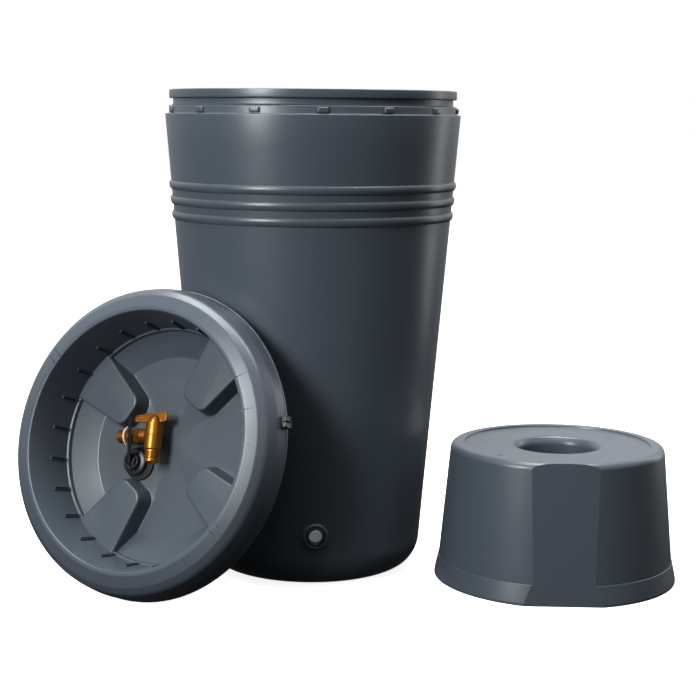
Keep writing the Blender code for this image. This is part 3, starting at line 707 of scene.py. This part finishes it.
def lid_outline(lid):
    """Top skin from the skirt's edge to the middle of the floor, then the underside back."""
    skirt, ridge, top, wall = lid.skirt_radius, lid.ridge_radius, lid.ridge_height, lid.wall
    dish, edge, disc, floor = lid.dish_radius, lid.dish_edge, lid.disc_radius, lid.floor
    corners = [
        (skirt, 0.0, 0.0), (skirt, 0.0032, 0.0006), (skirt - 0.0012, 0.0040, 0.0006),
        (skirt - 0.0030, 0.0300, 0.0400), (skirt - 0.0100, 0.0560, 0.0200), (0.2795, 0.0668, 0.0100),
        (ridge, top, 0.0100), (lid.lip_radius + 0.0004, top, 0.0032),
        (dish + 0.0006, edge + 0.0006, 0.0016), (dish - 0.0036, edge, 0.0012),
        (dish - 0.0050, edge - 0.0080, 0.0014),
        (disc, floor, 0.0060), (0.0, floor, 0.0),
        (0.0, floor - wall, 0.0), (disc + 0.0008, floor - wall, 0.0060), (dish - 0.0025, edge - 0.0112, 0.0030),
        (dish + 0.0010, edge - 0.0050, 0.0020), (dish + wall, edge, 0.0020),
        (lid.lip_radius + wall, top - 0.0055, 0.0030), (ridge, top - wall, 0.0050),
        (0.2780, 0.0640, 0.0080), (skirt - 0.0130, 0.0540, 0.0180), (skirt - 0.0060, 0.0300, 0.0300),
        (skirt - wall, 0.0, 0.0)]
    return rounded(corners, 6)


def pad_outline(lid, grow, outer):
    """Wedge with a rounded tip, pointing along -X, its wide end at radius outer."""
    tip, tip_half, end_half = lid.pad_tip - grow, 0.0260 + grow, 0.0560 + grow
    return rounded([(outer, -end_half, 0.0), (outer, end_half, 0.0), (tip, tip_half, 0.0165 + grow),
                    (tip, -tip_half, 0.0165 + grow)], 12, closed=True)


def lid_pads(lid):
    """Four hollow pads on the floor, cut to the dish's own space."""
    flare, foot, crown = 0.0095, 0.0022, 0.0046
    rise = lid.pad_top - lid.floor - foot - crown
    pad = raised(pad_outline(lid, flare + foot, lid.dish_radius + 0.030), 0.0016,
                 hollow_edge(foot) + [(flare - crown, rise)] + round_edge(crown, 6))
    pads = copies(placed(pad, shift(z=lid.floor - 0.0016)), evenly(4, lid.first_slot + pi / 4))
    dish, edge, disc, floor = lid.dish_radius, lid.dish_edge, lid.disc_radius, lid.floor - 0.0016
    space = spun([(0.0, floor), (disc + 0.0004, floor),
                  (dish - 0.0034, edge - 0.0092), (dish - 0.0010, edge - 0.0016), (dish + 0.0020, edge),
                  (dish + 0.0060, edge + 0.0200), (0.0, edge + 0.0200)], LID_TURNS)
    return combine(pads, space, "INTERSECT")


def pad_hollows(lid):
    """Space inside the pads, open from behind the lid."""
    start = lid.floor - 0.0120
    flare = 0.0080
    hollow = raised(pad_outline(lid, flare - lid.wall, lid.dish_radius - 0.0030), 0.0100,
                    [(flare, lid.pad_top - lid.wall - start - 0.0100)])
    return copies(placed(hollow, shift(z=start)), evenly(4, lid.first_slot + pi / 4))


def slot_solid(lid, spare, deep):
    """A narrow tapered block upright in the dish wall's foot, larger than the slot by a spare."""
    narrow, wide, tall = 0.0013 + spare, 0.0019 + spare, 0.0380 + 2 * spare
    low, high = -0.5 * tall, 0.5 * tall
    block = raised(rounded([(low, -narrow, 0.0006), (high, -wide, 0.0012), (high, wide, 0.0012),
                            (low, narrow, 0.0006)], 3, closed=True), deep)
    lean = (lid.lip_radius - lid.dish_radius) / (lid.ridge_height - lid.dish_edge)
    upright = shift(lid.dish_radius, 0.0, lid.dish_edge + 0.0230) @ Matrix.Rotation(lean, 4, "Y")
    return placed(block, upright @ shift(-0.0015) @ ONTO_X @ around(pi))


def wall_slots(lid, spare, start, deep):
    """Slots or their pockets around the wall, from a depth inside its face to another."""
    slot = placed(slot_solid(lid, spare, deep), shift(start))
    return copies(slot, evenly(lid.slots, lid.first_slot))


LIP_PAIRS = (145.5, 149.3, -34.5, -30.7)   # turns of the deep marks, in degrees
LIP_LINES = (33.0, 18.5, 4.3)              # turns of the faint ones


def lip_marks(lid):
    """Fine grooves across the lip: a deep pair on two sides, and three faint ones."""
    inner, outer, ridge = lid.lip_radius - 0.0020, 0.2790, lid.ridge_height
    made = []
    for turns, width, depth in ((LIP_PAIRS, 0.0017, 0.0016), (LIP_LINES, 0.0011, 0.0006)):
        groove = spun([(inner, ridge - depth), (outer, ridge - 0.0060 - depth),
                       (outer, ridge + 0.0100), (inner, ridge + 0.0100)], 96, ring=True)
        sector = raised(rectangle(0.0400, width, 0.0003), 0.0400)
        placed(sector, shift(0.2650, 0.0, ridge - 0.0200))
        sectors = copies(sector, [around(radians(turn)) for turn in turns])
        made.append(combine(groove, sectors, "INTERSECT"))
    select_only(*made)
    bpy.ops.object.join()
    return made[0]


class RAIN_BARREL_OT_lid(Modeller, bpy.types.Operator):
    """Model the lid in one moulding: skirt, rolled lip, slotted wall, dish, disc and hollow pads"""

    bl_idname = "rain_barrel.lid"
    bl_label = "Lid"

    def model(self, settings):
        lid = settings.lid
        shell = spun(lid_outline(lid), LID_TURNS)
        combine(shell, lid_pads(lid), "UNION")
        combine(shell, pad_hollows(lid), "DIFFERENCE")
        combine(shell, wall_slots(lid, 0.0012, 0.0025, 0.0082), "UNION")
        combine(shell, wall_slots(lid, 0.0, 0.0, 0.0095), "DIFFERENCE")
        combine(shell, lip_marks(lid), "DIFFERENCE")
        gate = spun(rounded([(0.0, -0.0010, 0.0), (0.0022, -0.0010, 0.0), (0.0018, 0.0012, 0.0006),
                             (0.0, 0.0012, 0.0)]), 24)
        combine(shell, placed(gate, shift(z=lid.floor)), "UNION")
        placed(shell, lid_frame(lid))
        finish(shell, "lid_moulding", "lid", "slate_plastic", "lid_shell")


class RAIN_BARREL_OT_clip(Modeller, bpy.types.Operator):
    """Model the slotted clip on the skirt's edge"""

    bl_idname = "rain_barrel.clip"
    bl_label = "Lid Clip"

    def model(self, settings):
        lid = settings.lid
        border = [(0.0010, 0.0), (0.0003, -0.0010)]
        clip = raised(rectangle(0.0205, 0.0235, 0.0036), 0.0076, round_edge(0.0010) + border)
        slot = raised(rounded([(-0.0120, -0.0014, 0.0004), (0.0060, -0.0022, 0.0020), (0.0060, 0.0022, 0.0020),
                               (-0.0120, 0.0014, 0.0004)], 4, closed=True), 0.0160)
        combine(clip, placed(slot, shift(z=0.0030)), "DIFFERENCE")
        place = around(lid.first_slot) @ shift(lid.skirt_radius + 0.0008, 0.0, 0.0117) @ ONTO_X
        placed(clip, lid_frame(lid) @ place)
        finish(clip, "lid_slotted_clip", "lid", "black_plastic", "lid_clip")


# ---------------------------------------------------------------- tap
TAP_TURNS = 96


def tap_ring(corners, steps=4):
    """A small turned ring whose outline has rounded corners."""
    return spun(rounded(corners, steps, closed=True), TAP_TURNS, ring=True)


class RAIN_BARREL_OT_tap_body(Modeller, bpy.types.Operator):
    """Model the tap's upright body with its side stub"""

    bl_idname = "rain_barrel.tap_body"
    bl_label = "Tap Body"

    def model(self, settings):
        tap = settings.tap
        radius, top, low, gap = tap.body_radius, tap.top, tap.shoulder, 0.0003
        seat = tap.spout_radius - 0.0040 + gap
        seam = 0.5 * (top + low)
        body = tap_ring([
            (tap.bore_radius + gap, top, 0.0003), (radius, top, 0.0008), (radius, seam + 0.0006, 0.0),
            (radius - 0.0004, seam, 0.0), (radius, seam - 0.0006, 0.0), (radius, low, 0.0018),
            (seat, low, 0.0003), (seat, -0.0165, 0.0), (tap.bore_radius + gap, -0.0165, 0.0)])
        stub = spun(rounded([(0.0, 0.0140, 0.0), (0.0128, 0.0140, 0.0), (0.0128, 0.0186, 0.0004),
                             (0.0141, 0.0192, 0.0005), (0.0141, 0.0226, 0.0006), (0.0131, 0.0232, 0.0003),
                             (0.0131, 0.0244, 0.0003), (0.0141, 0.0250, 0.0006), (0.0141, 0.0288, 0.0008),
                             (0.0, 0.0288, 0.0)], 3), TAP_TURNS)
        combine(body, placed(stub, ONTO_MINUS_X), "UNION")
        way = spun([(0.0, 0.0), (tap.waterway, 0.0), (tap.waterway, 0.0200), (0.0105, 0.0200),
                    (0.0105, 0.0300), (0.0, 0.0300)], 48)
        combine(body, placed(way, ONTO_MINUS_X), "DIFFERENCE")
        bore = tap.bore_radius + gap
        plug_space = spun([(0.0, -0.0165), (bore, -0.0165), (bore, top + 0.002), (0.0, top + 0.002)], TAP_TURNS)
        combine(body, plug_space, "DIFFERENCE")
        placed(body, tap_frame(tap, settings.lid))
        finish(body, "tap_upright", "tap_set", "bronze_plastic", "tap_body")


class RAIN_BARREL_OT_spout(Modeller, bpy.types.Operator):
    """Model the threaded spout under the body"""

    bl_idname = "rain_barrel.spout"
    bl_label = "Tap Spout"

    def model(self, settings):
        tap = settings.tap
        neck, crest, top = tap.spout_radius - 0.0040, tap.spout_radius, tap.shoulder - 0.0003
        core = crest - 0.0009
        spout = tap_ring([
            (tap.waterway, top + 0.0100, 0.0003), (neck, top + 0.0100, 0.0003), (neck, top, 0.0),
            (crest, top, 0.0008), (crest, top - 0.0050, 0.0004), (core, top - 0.0056, 0.0003),
            (core, tap.spout_end + 0.0048, 0.0003), (crest, tap.spout_end + 0.0042, 0.0004),
            (crest, tap.spout_end, 0.0014), (tap.waterway, tap.spout_end, 0.0006)])
        ridge = screw_ridge(core, crest - 0.0001, 0.0026, tap.spout_end + 0.0040, top - 0.0044)
        combine(spout, ridge, "UNION")
        placed(spout, tap_frame(tap, settings.lid))
        finish(spout, "tap_spout", "tap_set", "bronze_plastic", "spout_tail")


class RAIN_BARREL_OT_inlet(Modeller, bpy.types.Operator):
    """Model the threaded inlet, its hexagon and its flat washer"""

    bl_idname = "rain_barrel.inlet"
    bl_label = "Tap Inlet"

    def model(self, settings):
        tap = settings.tap
        place = tap_frame(tap, settings.lid) @ ONTO_MINUS_X
        crest, end = tap.thread_radius, tap.inlet_end
        core = crest - 0.0010
        inlet = tap_ring([
            (0.0075, 0.0206, 0.0), (0.0102, 0.0206, 0.0003), (0.0102, 0.0293, 0.0), (0.0117, 0.0293, 0.0003),
            (0.0117, 0.0430, 0.0003), (crest, 0.0433, 0.0004), (crest, 0.0450, 0.0004), (core, 0.0456, 0.0003),
            (core, end - 0.0006, 0.0), (core - 0.0012, end, 0.0006), (0.0095, end, 0.0005),
            (0.0095, 0.0400, 0.0)], 3)
        ridge = screw_ridge(core, crest - 0.0001, tap.thread_pitch, 0.0446, end - 0.0010)
        combine(inlet, ridge, "UNION")
        finish(placed(inlet, place), "tap_inlet_thread", "tap_set", "bronze_plastic", "inlet_tail")

        corner, low, high = 0.0160, 0.0300, 0.0415
        hexagon = raised(polygon(6, corner), high - low)
        bevelled = spun(rounded([(0.0, low, 0.0), (corner - 0.0020, low, 0.0), (corner, low + 0.0014, 0.0),
                                 (corner, high - 0.0014, 0.0), (corner - 0.0020, high, 0.0), (0.0, high, 0.0)]),
                        TAP_TURNS)
        combine(placed(hexagon, shift(z=low) @ around(pi / 6)), bevelled, "INTERSECT")
        hole = spun([(0.0, 0.020), (0.0121, 0.020), (0.0121, 0.050), (0.0, 0.050)], TAP_TURNS)
        combine(hexagon, hole, "DIFFERENCE")
        finish(placed(hexagon, place), "tap_hexagon", "tap_set", "bronze_plastic", "inlet_hex")

        bore, rim, at = crest + 0.0003, tap.washer_radius, tap.washer_at
        washer = tap_ring([(bore, at, 0.0005), (rim, at, 0.0009), (rim, at + 0.0030, 0.0009),
                               (bore, at + 0.0030, 0.0005)])
        finish(placed(washer, place), "tap_flat_washer", "tap_set", "cream_rubber", "inlet_washer")


def lever_outline(tap):
    """The wing from the front: narrow round end over the inlet, wide round end on the other side."""
    low = tap.top + 0.0006
    left, right = -tap.lever_long, tap.lever_short
    return rounded([(right, low, 0.0070), (right, low + 0.0195, 0.0080), (0.0, low + 0.0185, 0.0300),
                    (left, low + 0.0145, 0.0068), (left, low + 0.0015, 0.0058), (left + 0.0160, low, 0.0300)],
                   8, closed=True)


class RAIN_BARREL_OT_lever(Modeller, bpy.types.Operator):
    """Model the wing lever with its raised border, and the domed cap in front of it"""

    bl_idname = "rain_barrel.lever"
    bl_label = "Tap Lever"

    def model(self, settings):
        tap = settings.tap
        place = tap_frame(tap, settings.lid)
        thickness, edge = 0.0050, 0.0007
        border = round_edge(edge, 3) + [(0.0015, 0.0), (0.0004, -0.0012)]
        flat_part = thickness - 2 * edge
        lever = raised(lever_outline(tap), flat_part, border, border)
        stand_up = Matrix(((1, 0, 0, 0), (0, 0, 1, -flat_part / 2), (0, 1, 0, 0), (0, 0, 0, 1)))
        placed(lever, stand_up)
        select_only(lever)
        bpy.ops.object.mode_set(mode="EDIT")
        tidy_mesh()

        base = tap.top + 0.0003
        cap_profile = [(0.0, base, 0.0), (0.0128, base, 0.0003), (0.0128, base + 0.0030, 0.0020),
                       (0.0112, base + 0.0088, 0.0060), (0.0060, base + 0.0128, 0.0060),
                       (0.0, base + 0.0135, 0.0)]
        collar = tap_ring([(0.0134, -0.0025, 0.0), (0.0149, -0.0025, 0.0004), (0.0149, 0.0025, 0.0004),
                               (0.0134, 0.0025, 0.0)], 3)
        placed(collar, shift(z=base + 0.0010) @ ONTO_MINUS_Y)
        above = raised(rectangle(0.0400, 0.0200, 0.0010), 0.0200)
        combine(collar, placed(above, shift(z=tap.top + 0.0006)), "INTERSECT")
        combine(lever, collar, "UNION")
        space = spun(rounded([(r + (0.0003 if r else 0.0), z + (0.0003 if z > base else -0.0020), f)
                              for r, z, f in cap_profile], 6), TAP_TURNS)
        combine(lever, space, "DIFFERENCE")
        hole = spun([(0.0, -0.010), (0.0016, -0.010), (0.0016, 0.010), (0.0, 0.010)], 24)
        at_hole = shift(-tap.lever_long + 0.0060, 0.0, base + 0.0090) @ ONTO_MINUS_Y
        combine(lever, placed(hole, at_hole), "DIFFERENCE")
        finish(placed(lever, place), "tap_wing_lever", "valve", "bronze_plastic", "tap_lever")

        cap = spun(rounded(cap_profile, 8), TAP_TURNS)
        finish(placed(cap, place), "tap_domed_cap", "valve", "bronze_plastic", "lever_cap")


class RAIN_BARREL_OT_inner_parts(Modeller, bpy.types.Operator):
    """Give the valve plug and its two rings, which keep their own shapes, their finishes"""

    bl_idname = "rain_barrel.inner_parts"
    bl_label = "Valve Plug and Rings"

    def model(self, settings):
        for node, name in (("valve_plug", "bronze_plastic"), ("plug_seal_lower", "black_rubber"),
                           ("plug_seal_upper", "black_rubber")):
            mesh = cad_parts[node].data
            mesh.materials.clear()
            mesh.materials.append(material_for(name))


# ---------------------------------------------------------------- loose fittings
class RAIN_BARREL_OT_nut(Modeller, bpy.types.Operator):
    """Model the flat seal and the flanged lock nut that lie in the dish"""

    bl_idname = "rain_barrel.nut"
    bl_label = "Nut and Seal"

    def model(self, settings):
        fit, lid = settings.fittings, settings.lid
        floor, gap = lid.floor + 0.0003, 0.0003
        top = lid.floor + fit.seal_height
        outer = fit.seal_radius
        seal = tap_ring([(0.0135, floor, 0.0010), (outer, floor, 0.0020), (outer, top - 0.0008, 0.0016),
                             (outer - 0.0040, top, 0.0012), (outer - 0.0050, top - 0.0008, 0.0004),
                             (outer - 0.0062, top - 0.0008, 0.0004), (outer - 0.0072, top, 0.0004),
                             (0.0135, top, 0.0010)])
        place = lid_frame(lid)
        placed(seal, place @ shift(-0.0665, -0.0400))
        finish(seal, "nut_flat_seal", "tap_set", "black_rubber", "nut_seal")

        low, hub, high = top + gap, fit.nut_hub, fit.nut_top
        flange_top = low + fit.nut_flange
        bore, crest = 0.0142, 0.0133
        nut = tap_ring([
            (bore, low, 0.0006), (fit.nut_radius, low, 0.0012), (fit.nut_radius, flange_top - 0.0036, 0.0016),
            (fit.nut_radius - 0.0030, flange_top - 0.0018, 0.0020), (hub, flange_top, 0.0030),
            (hub, high, 0.0014), (bore, high, 0.0009)])
        rib = raised(rectangle(0.0052, 0.0034, 0.0012), fit.nut_flange * 0.62, round_edge(0.0010, 3))
        ribs = copies(placed(rib, shift(hub + 0.0012, 0.0, low + 0.0020)), evenly(8))
        combine(nut, ribs, "UNION")
        combine(nut, screw_ridge(bore, crest, settings.tap.thread_pitch, low + 0.0006, high - 0.0006), "UNION")
        placed(nut, place @ shift(-0.0735, -0.0380))
        finish(nut, "flanged_lock_nut", "nut", "black_plastic", "lock_nut")


class RAIN_BARREL_OT_key(Modeller, bpy.types.Operator):
    """Model the flat bar key with its grooves and dimpled ends"""

    bl_idname = "rain_barrel.key"
    bl_label = "Bar Key"

    def model(self, settings):
        fit = settings.fittings
        top, bottom = Vector((-0.0635, 0.0450, 0.0048)), Vector((-0.0725, -0.0470, -0.0268))
        run = top - bottom
        edge = 0.0006
        groove = round_edge(edge, 3) + [(0.0011, 0.0), (0.0003, -0.0008)]
        bar = raised(rectangle(run.length, fit.key_width, fit.key_width / 2 - 0.0001, 8),
                     fit.key_thickness - 2 * edge, groove, groove)
        placed(bar, shift(z=-fit.key_thickness / 2 + edge))
        for end in (-1.0, 1.0):
            place = end * (run.length / 2 - fit.key_width / 2)
            eye = spun(rounded([(0.0013, -0.0014, 0.0), (0.0023, -0.0014, 0.0), (0.0023, 0.0014, 0.0004),
                                (0.0013, 0.0014, 0.0004)], 3, closed=True), 32, ring=True)
            combine(bar, placed(eye, shift(place)), "UNION")
        along = run.normalized()
        side = Vector((0.0, 0.0, 1.0)).cross(along).normalized()
        matrix = Matrix((along, side, along.cross(side))).transposed().to_4x4()
        matrix.translation = (top + bottom) / 2
        placed(bar, lid_frame(settings.lid) @ matrix)
        finish(bar, "bar_key", "key", "black_plastic", "fitting_key")


# ---------------------------------------------------------------- stand
STAND_TURNS = 240


def stand_skin(stand, inset):
    """Closed profile of the stand without its hole, from the ground up, moved in by a wall."""
    foot, flange, top = stand.foot_radius - inset, stand.flange_top, stand.wall_top_height
    plate = stand.plate_radius
    start = -0.010 if inset else 0.0
    lean = (stand.wall_foot - stand.wall_top) / (top - flange)
    shoulder = stand.wall_top - lean * (stand.height - top)
    return rounded([
        (0.0, start, 0.0), (foot, start, 0.0), (foot, 0.0045, 0.0030),
        (stand.wall_foot + 0.0012 - inset, flange - 0.0006, 0.0006),
        (stand.wall_foot - inset, flange, 0.0004),
        (shoulder - inset, stand.height - inset, stand.shoulder_radius),
        (plate + 0.0010, stand.height - inset, 0.0010),
        (plate, stand.plate_height - inset, 0.0008), (0.0, stand.plate_height - inset, 0.0)], 18)


def cut_flats(piece, stand, inset):
    """Cut the front and back flats, which lean in toward the top, and close the cuts."""
    slope = (stand.flat_foot - stand.flat_top) / stand.wall_top_height
    for side in (-1.0, 1.0):
        select_only(piece)
        bpy.ops.object.mode_set(mode="EDIT")
        bpy.ops.mesh.select_all(action="SELECT")
        bpy.ops.mesh.bisect(plane_co=(0.0, side * (stand.flat_foot - inset), 0.0), plane_no=(0.0, side, slope),
                            use_fill=True, clear_outer=True)
        tidy_mesh()
    return piece


class RAIN_BARREL_OT_stand(Modeller, bpy.types.Operator):
    """Model the stand: flanged wall with two flats, soft shoulder, raised rim, plate and funnel"""

    bl_idname = "rain_barrel.stand"
    bl_label = "Stand"

    def model(self, settings):
        stand = settings.stand
        hole, funnel, plate, wall = stand.hole_radius, stand.funnel_radius, stand.plate_height, stand.wall
        shell = cut_flats(spun(stand_skin(stand, 0.0), STAND_TURNS), stand, 0.0)
        cavity = cut_flats(spun(stand_skin(stand, wall), STAND_TURNS), stand, wall)
        combine(shell, cavity, "DIFFERENCE")
        tube = spun(rounded([(hole, plate - 0.0450, 0.0), (hole + wall, plate - 0.0450, 0.0),
                             (hole + wall, plate - 0.0225, 0.0100), (hole + 0.0120, plate - 0.0065, 0.0100),
                             (funnel + 0.0060, plate - 0.0020, 0.0),
                             (hole, plate - 0.0020, 0.0)], 12, closed=True),
                    STAND_TURNS, ring=True)
        combine(shell, tube, "UNION")
        mouth = spun(rounded([(0.0, plate - 0.0600, 0.0), (hole, plate - 0.0600, 0.0),
                              (hole, plate - 0.0120, 0.0180), (hole + 0.0080, plate - 0.0012, 0.0080),
                              (funnel, plate + 0.0001, 0.0), (funnel, plate + 0.0200, 0.0),
                              (0.0, plate + 0.0200, 0.0)], 16), STAND_TURNS)
        combine(shell, mouth, "DIFFERENCE")
        dash = raised(rectangle(0.0130, 0.0026, 0.0012), 0.0006, round_edge(0.0006, 3))
        dashes = copies(dash, [shift(x, y, plate - 0.0004) for x, y in ((-0.1189, -0.1140), (0.1164, 0.0854))])
        combine(shell, dashes, "UNION")
        placed(shell, stand_frame(stand))
        finish(shell, "stand_moulding", "stand", "slate_plastic", "stand_shell",
               crease=8.0)


# ---------------------------------------------------------------- stage
def soft_box(name, place, aim, width, height, watts, tint=(0.95, 0.98, 1.0)):
    """An area light at a place, turned toward a point."""
    bpy.ops.object.light_add(type="AREA", location=place)
    light = bpy.context.object
    light.name = name
    light.rotation_euler = (Vector(aim) - Vector(place)).to_track_quat("-Z", "Y").to_euler()
    light.data.shape = "RECTANGLE"
    light.data.size, light.data.size_y = width, height
    light.data.energy = watts
    light.data.color = tint
    return light


def studio_world():
    """White behind the set, and for its light a bright ceiling and back over a dark floor."""
    world = bpy.data.worlds.new("studio")
    bpy.context.scene.world = world
    world.use_nodes = True
    tree = world.node_tree
    nodes, link = tree.nodes, tree.links.new
    nodes.clear()
    place = nodes.new("ShaderNodeTexCoord")
    parts = nodes.new("ShaderNodeSeparateXYZ")
    link(place.outputs["Generated"], parts.inputs[0])

    def ranged(source, low, high, to_low, to_high):
        made = nodes.new("ShaderNodeMapRange")
        made.interpolation_type = "SMOOTHSTEP"
        link(source, made.inputs["Value"])
        for socket, value in zip(("From Min", "From Max", "To Min", "To Max"), (low, high, to_low, to_high)):
            made.inputs[socket].default_value = value
        return made.outputs[0]

    def joined_by(operation, first, second):
        made = nodes.new("ShaderNodeMath")
        made.operation = operation
        link(first, made.inputs[0])
        link(second, made.inputs[1])
        return made.outputs[0]

    above = ranged(parts.outputs["Z"], -0.05, 0.65, 0.04, 0.72)
    behind = ranged(parts.outputs["Y"], -0.25, 0.95, 0.0, 0.60)
    under = ranged(parts.outputs["Z"], -0.25, 0.02, 0.06, 1.0)
    level = joined_by("MULTIPLY", joined_by("ADD", above, behind), under)
    glow = nodes.new("ShaderNodeBackground")
    link(level, glow.inputs["Strength"])
    white = nodes.new("ShaderNodeBackground")
    white.inputs["Strength"].default_value = 1.0
    white.inputs["Color"].default_value = (1.0, 1.0, 1.0, 1.0)
    path = nodes.new("ShaderNodeLightPath")
    both = nodes.new("ShaderNodeMixShader")
    link(path.outputs["Is Camera Ray"], both.inputs[0])
    link(glow.outputs[0], both.inputs[1])
    link(white.outputs[0], both.inputs[2])
    out = nodes.new("ShaderNodeOutputWorld")
    link(both.outputs[0], out.inputs[0])


def floor_material(finishes):
    """Pale matt floor with a faint mottling."""
    shade = Shade("studio_floor", {"Specular IOR Level": 0.0, "Emission Color": (1.0, 1.0, 1.0, 1.0),
                                   "Emission Strength": 0.86})
    mottle = shade.noise(2.0, 2.0)
    return shade.paint(shade.mix(mottle, tinted(finishes.floor, 0.99), tinted(finishes.floor, 1.0)), 0.9)


class RAIN_BARREL_OT_stage(Modeller, bpy.types.Operator):
    """Set up the pale floor, the soft light and the camera"""

    bl_idname = "rain_barrel.stage"
    bl_label = "Stage"

    def model(self, settings):
        scene, stage = bpy.context.scene, settings.stage
        bpy.ops.object.select_all(action="DESELECT")
        bpy.ops.mesh.primitive_plane_add(size=30.0, location=(0.0, 0.0, -0.0005))
        floor = bpy.context.object
        floor.name = "studio_floor"
        floor.data.materials.append(floor_material(settings.finishes))
        floor.visible_diffuse = floor.visible_glossy = False

        middle = (CAD_BOX[0] + CAD_BOX[1]) / 2
        soft_box("key_box", middle + Vector((-2.2, -2.4, 1.2)), middle, 0.8, 1.8, stage.key_power)
        soft_box("top_box", middle + Vector((0.0, 0.2, 2.2)), middle, 2.4, 1.6, stage.top_power)
        soft_box("edge_box", middle + Vector((1.9, 0.9, 0.5)), (0.0, 0.0, 0.5), 0.3, 1.8, stage.edge_power)
        studio_world()
        scene.view_settings.view_transform = "Standard"

        bpy.ops.object.camera_add(location=(0.0, -stage.camera_back, stage.camera_height))
        camera = bpy.context.object
        camera.name = "front_camera"
        turned = (around(-stage.camera_yaw) @ Matrix.Rotation(pi / 2 - stage.camera_pitch, 4, "X")
                  @ around(stage.camera_roll))
        camera.rotation_euler = turned.to_euler()
        camera.data.sensor_width = 36.0
        camera.data.lens = stage.focal_length
        camera.data.clip_end = 60.0
        scene.camera = camera


# ---------------------------------------------------------------- panel and registration
OPERATORS = (RAIN_BARREL_OT_barrel, RAIN_BARREL_OT_bush, RAIN_BARREL_OT_lid, RAIN_BARREL_OT_clip,
             RAIN_BARREL_OT_tap_body, RAIN_BARREL_OT_spout, RAIN_BARREL_OT_inlet, RAIN_BARREL_OT_lever,
             RAIN_BARREL_OT_inner_parts, RAIN_BARREL_OT_nut, RAIN_BARREL_OT_key, RAIN_BARREL_OT_stand,
             RAIN_BARREL_OT_stage)


class RAIN_BARREL_PT_panel(bpy.types.Panel):
    """Lists the pieces of the rain barrel set"""

    bl_label = "Rain Barrel Set"
    bl_space_type = "VIEW_3D"
    bl_region_type = "UI"
    bl_category = "Rain Barrel"

    def draw(self, context):
        for operator in OPERATORS:
            self.layout.operator(operator.bl_idname)


CLASSES = (BarrelSizes, LidSizes, TapSizes, FittingSizes, StandSizes, Finishes, StageSettings,
           RainBarrelSettings, *OPERATORS, RAIN_BARREL_PT_panel)


def register():
    for item in CLASSES:
        bpy.utils.register_class(item)
    bpy.types.Scene.rain_barrel = PointerProperty(type=RainBarrelSettings)


def unregister():
    del bpy.types.Scene.rain_barrel
    for item in reversed(CLASSES):
        bpy.utils.unregister_class(item)


def main():
    register()
    for operator in OPERATORS:
        getattr(bpy.ops.rain_barrel, operator.bl_idname.split(".")[1])()


if __name__ == "__main__":
    main()
